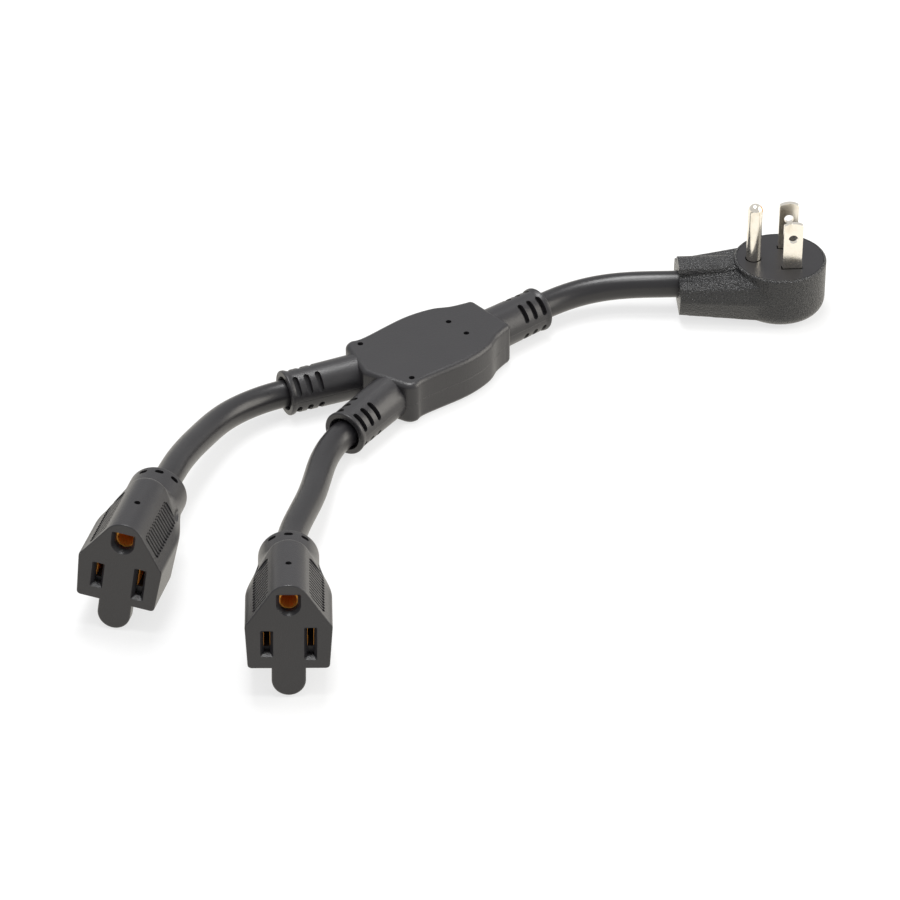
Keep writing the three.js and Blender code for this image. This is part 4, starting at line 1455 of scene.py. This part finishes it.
    def panels(self) -> list[bmesh.types.BMesh]:
        """Cutters for the shallow recess under each row of grooves and the scoop behind it.

        Returns:
            A recess and a scoop for each side.
        """
        upper, lower = self.grooved(self.panel_lip)
        start = self.rib_start - self.rib_pitch
        end = self.rib_start + self.rib_count * self.rib_pitch
        soft = self.panel_corner
        outline = [*arc((upper + soft, end - soft), soft, math.pi, QUARTER, steps=6),
                   *arc((lower - soft, end - soft), soft, QUARTER, 0, steps=6),
                   *arc((lower - soft, start + soft), soft, 0, -QUARTER, steps=6),
                   *arc((upper + soft, start + soft), soft, -QUARTER, -math.pi, steps=6)]
        u, back, w = self.scoop_spot
        cutters = []
        for side in (-1, 1):
            plan = [(side * x, y) for x, y in outline]
            cutters.append(moved(prism(plan, -self.panel_depth, self.panel_clear), self.on_slope(side)))
            ball = lathe([(-x, r) for x, r in arc((0, 0), 1, 0, math.pi, steps=24)], steps=48)
            lie = at(side * u, back, w) @ turn_by(side * self.slope, "Y")
            cutters.append(moved(ball, lie @ Matrix.Diagonal((*self.scoop_size, 1))))
        return cutters

    def vents(self) -> list[bmesh.types.BMesh]:
        """Cutters for the three small pockets on the collar.

        Returns:
            One cutter for each pocket.
        """
        end = self.vent_length / 2
        half = self.vent_width / 2 - end
        outline = [*arc((half, 0), end, -QUARTER, QUARTER, steps=8),
                   *arc((-half, 0), end, QUARTER, 3 * QUARTER, steps=8)]
        low, high = self.collar_radius - self.vent_depth, self.collar_radius + self.vent_depth
        cutters = []
        for angle in (-self.vent_turn, 0, self.vent_turn):
            pocket = moved(prism(outline, low, high), at(0, self.vent_back, 0))
            cutters.append(moved(pocket, at(0, 0, self.axis) @ turn_by(angle, "Y")))
        return cutters

    def hollow(self) -> list[bmesh.types.BMesh]:
        """Cutters for the space behind the face wall and the cord's bore.

        Returns:
            The space and the bore.
        """
        points = self.outline(self.wall, self.longest_inside)
        backs = ((self.face_wall, 0), (self.block_end, 0), (self.length - self.hold, 1))
        space = loft([self.ring(points, back, self.bore, lambda point, s=share: s) for back, share in backs])
        bore = rod(self.bore, self.length - self.hold - OVERRUN, self.length + OVERRUN, steps=64)
        return [space, moved(bore, at(0, 0, self.axis) @ turn_by(QUARTER, "Z"))]

    def build(self, finishes: Finishes) -> list[bpy.types.Object]:
        """Builds the socket and dresses what is inside it.

        Args:
            finishes: the splitter's finishes.

        Returns:
            Its pieces.
        """
        piece = as_object(f"socket_overmould_{self.letter}", self.skin())
        carve(piece, Cut.JOIN, [self.tab()])
        top = self.arch_centre + self.arch_radius
        dimple = upright(rod(self.dimple / 2, top - self.dimple_depth, top + OVERRUN, steps=24))
        low, high = self.slot_heights
        carve(piece, Cut.REMOVE, [
            *self.hollow(), moved(dimple, at(0, self.dimple_back, 0)), self.ground_hole(),
            self.slot(-self.slot_u, low), self.slot(self.slot_u, high), *self.panels(),
            gathered(self.ribs()), gathered(self.vents()),
        ])
        inside = [dress(f"contact_block_{self.letter}", finishes.made["nylon"])]
        inside += [dress(f"contact_{role.value}_{self.letter}", finishes.made["brass"])
                   for role in WireRole]
        body = finished(piece, self.place(), finishes.made["socket"],
                        [f"socket_body_{self.letter}"])
        return [body, *inside]


@dataclass
class Studio:
    """The photo's view, a soft white surround and a white table."""

    eye: Spot = (-757.9, -901.8, 786.5)
    aim: Spot = (-20.3, -35.1, 0)
    lens: float = 176.0
    sensor: float = 36.0
    surround: float = 0.62
    table_half: float = 4000.0
    table_thickness: float = 20.0
    table_drop: float = 0.05      # keeps the table's top off what lies on it
    table_colour: str = "#F7F7F7"
    table_roughness: float = 0.9
    bleach: float = 0.7           # share of plain white that the camera sees in the table
    rim: float = 1.05             # how bright the table looks in the vinyl's reflections
    rim_colour: str = "#FFFBF2"
    lamps: tuple[tuple[str, Spot, float, float, str], ...] = (  # name, place, size, watts and colour
        ("overhead", (150, 250, 1100), 450, 8.5, "#FFFFFF"),
        ("side", (900, -650, 330), 1000, 11.0, "#FFFAF0"),
        ("above", (-150, -75, 1100), 200, 2.4, "#FFFFFF"),
    )

    def stand(self, name: str, data: bpy.types.ID, spot: Spot) -> bpy.types.Object:
        """Puts up a camera or a lamp that faces the object.

        Args:
            name: its name.
            data: the camera or the lamp.
            spot: where it goes, in millimetres.

        Returns:
            Its object.
        """
        stood = bpy.data.objects.new(name, data)
        stood.location = Vector(spot) * MM
        stood.rotation_euler = (Vector(self.aim) - Vector(spot)).to_track_quat("-Z", "Y").to_euler()
        bpy.context.scene.collection.objects.link(stood)
        return stood

    def camera(self) -> None:
        """Sets the camera."""
        data = bpy.data.cameras.new("camera")
        data.lens = self.lens
        data.sensor_width = self.sensor
        bpy.context.scene.camera = self.stand("camera", data, self.eye)

    def world(self) -> None:
        """Lights the scene from all round; the camera sees plain white."""
        world = bpy.data.worlds.new("surround")
        world.use_nodes = True
        bpy.context.scene.world = world
        tree = world.node_tree
        seen = add_node(tree, "ShaderNodeLightPath").outputs["Is Camera Ray"]
        light = tree.nodes["Background"]
        light.inputs["Color"].default_value = (1, 1, 1, 1)
        light.inputs["Strength"].default_value = self.surround
        plain = add_node(tree, "ShaderNodeBackground", Color=(1, 1, 1, 1), Strength=1.0)
        mix = add_node(tree, "ShaderNodeMixShader", i0=seen, i1=light.outputs[0], i2=plain.outputs[0])
        tree.links.new(mix.outputs[0], tree.nodes["World Output"].inputs["Surface"])

    def table(self) -> None:
        """Lays the matt white table, which takes the soft shadow and looks almost plain white."""
        half = self.table_half
        slab = cuboid((-half, -half, -self.table_thickness), (half, half, -self.table_drop))
        top = as_object("table", moved(slab, TO_METRES))
        made, shader = new_material("white_table")
        tree = made.node_tree
        shader.inputs["Base Color"].default_value = linear(self.table_colour)
        shader.inputs["Roughness"].default_value = self.table_roughness
        path = add_node(tree, "ShaderNodeLightPath")
        bleach = add_node(tree, "ShaderNodeMath", {"operation": "MULTIPLY"},
                          i0=path.outputs["Is Camera Ray"], i1=self.bleach)
        white = add_node(tree, "ShaderNodeEmission", Color=(1, 1, 1, 1), Strength=1.0)
        pale = add_node(tree, "ShaderNodeMixShader", i0=bleach.outputs[0], i1=shader.outputs[0],
                        i2=white.outputs[0])
        warm = add_node(tree, "ShaderNodeEmission", Color=linear(self.rim_colour), Strength=self.rim)
        mix = add_node(tree, "ShaderNodeMixShader", i0=path.outputs["Is Glossy Ray"], i1=pale.outputs[0],
                       i2=warm.outputs[0])
        tree.links.new(mix.outputs[0], tree.nodes["Material Output"].inputs["Surface"])
        top.data.materials.append(made)

    def lamp(self, name: str, spot: Spot, size: float, power: float, colour: str) -> None:
        """Hangs one square softbox that faces the object.

        Args:
            name: its name.
            spot: where it hangs, in millimetres.
            size: its side in millimetres.
            power: its power in watts.
            colour: its sRGB colour.
        """
        data = bpy.data.lights.new(name, "AREA")
        data.size = size * MM
        data.energy = power
        data.color = linear(colour)[:3]
        self.stand(name, data, spot)

    def build(self) -> None:
        """Builds the studio."""
        bpy.context.scene.view_settings.view_transform = "Standard"
        self.camera()
        self.world()
        self.table()
        for lamp in self.lamps:
            self.lamp(*lamp)
        LOG.info("studio")


# Free parts of the cords' routes, as the cords lie in the photo

FREE_A = (
    (-57.9, 16.6, 7.8), (-65.5, 15.8, 8.6), (-72.7, 13.7, 9.7), (-79.6, 10.6, 10.9), (-86.3, 6.9, 12.3),
    (-93.2, 2.9, 13.9), (-99.6, -1.2, 15.3), (-105.7, -5.6, 16.7), (-111.7, -10.3, 17.8),
)
FREE_B = (
    (-57.2, -19.8, 7.7), (-63.2, -24.3, 8.3), (-68.7, -29.3, 9.0), (-74.2, -34.4, 10.0),
    (-79.5, -39.0, 11.0), (-85.4, -43.6, 12.1), (-91.3, -48.2, 13.3), (-97.1, -52.9, 14.5),
    (-102.5, -58.0, 15.6),
)
FREE_PLUG = ((59.5, -1.1, 7.7), (67.2, -3.7, 8.2), (74.2, -7.7, 8.7), (80.5, -12.8, 9.2))


def wires(end: str, finishes: Finishes) -> list[bpy.types.Object]:
    """Dresses the three wires inside one cord, each in its own colour."""
    return [dress(f"wire_{role.value}_{end}", finishes.made[role.value]) for role in WireRole]


def main() -> None:
    """Builds the splitter and its studio, piece by piece."""
    logging.basicConfig(level=logging.INFO, format="%(message)s")
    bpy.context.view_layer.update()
    Studio().build()
    finishes = Finishes()
    junction = Junction()
    entries = junction.entries()
    junction.build(finishes)
    plug = Plug()
    sockets = (Socket("a", x=-154.8, y=-42.2, z=18.22516, turn=-52.4, lift=4.7, roll=7.7),
               Socket("b", x=-136.2, y=-99.4, z=18.49063, turn=-38.5, lift=7.5, roll=1.0))
    plug_cord = Cord("plug", CordRoute(*entries["plug"], FREE_PLUG, plug.arrival(), hold=8))
    plug_cord.build(finishes, "plug", [*plug.build(finishes), *wires("plug", finishes)])
    for socket, free in zip(sockets, (FREE_A, FREE_B)):
        name = f"socket_{socket.letter}"
        cord = Cord(name, CordRoute(*entries[name], free, socket.arrival()))
        cord.build(finishes, "connector", [*socket.build(finishes), *wires(name, finishes)])


if __name__ == "__main__":
    main()
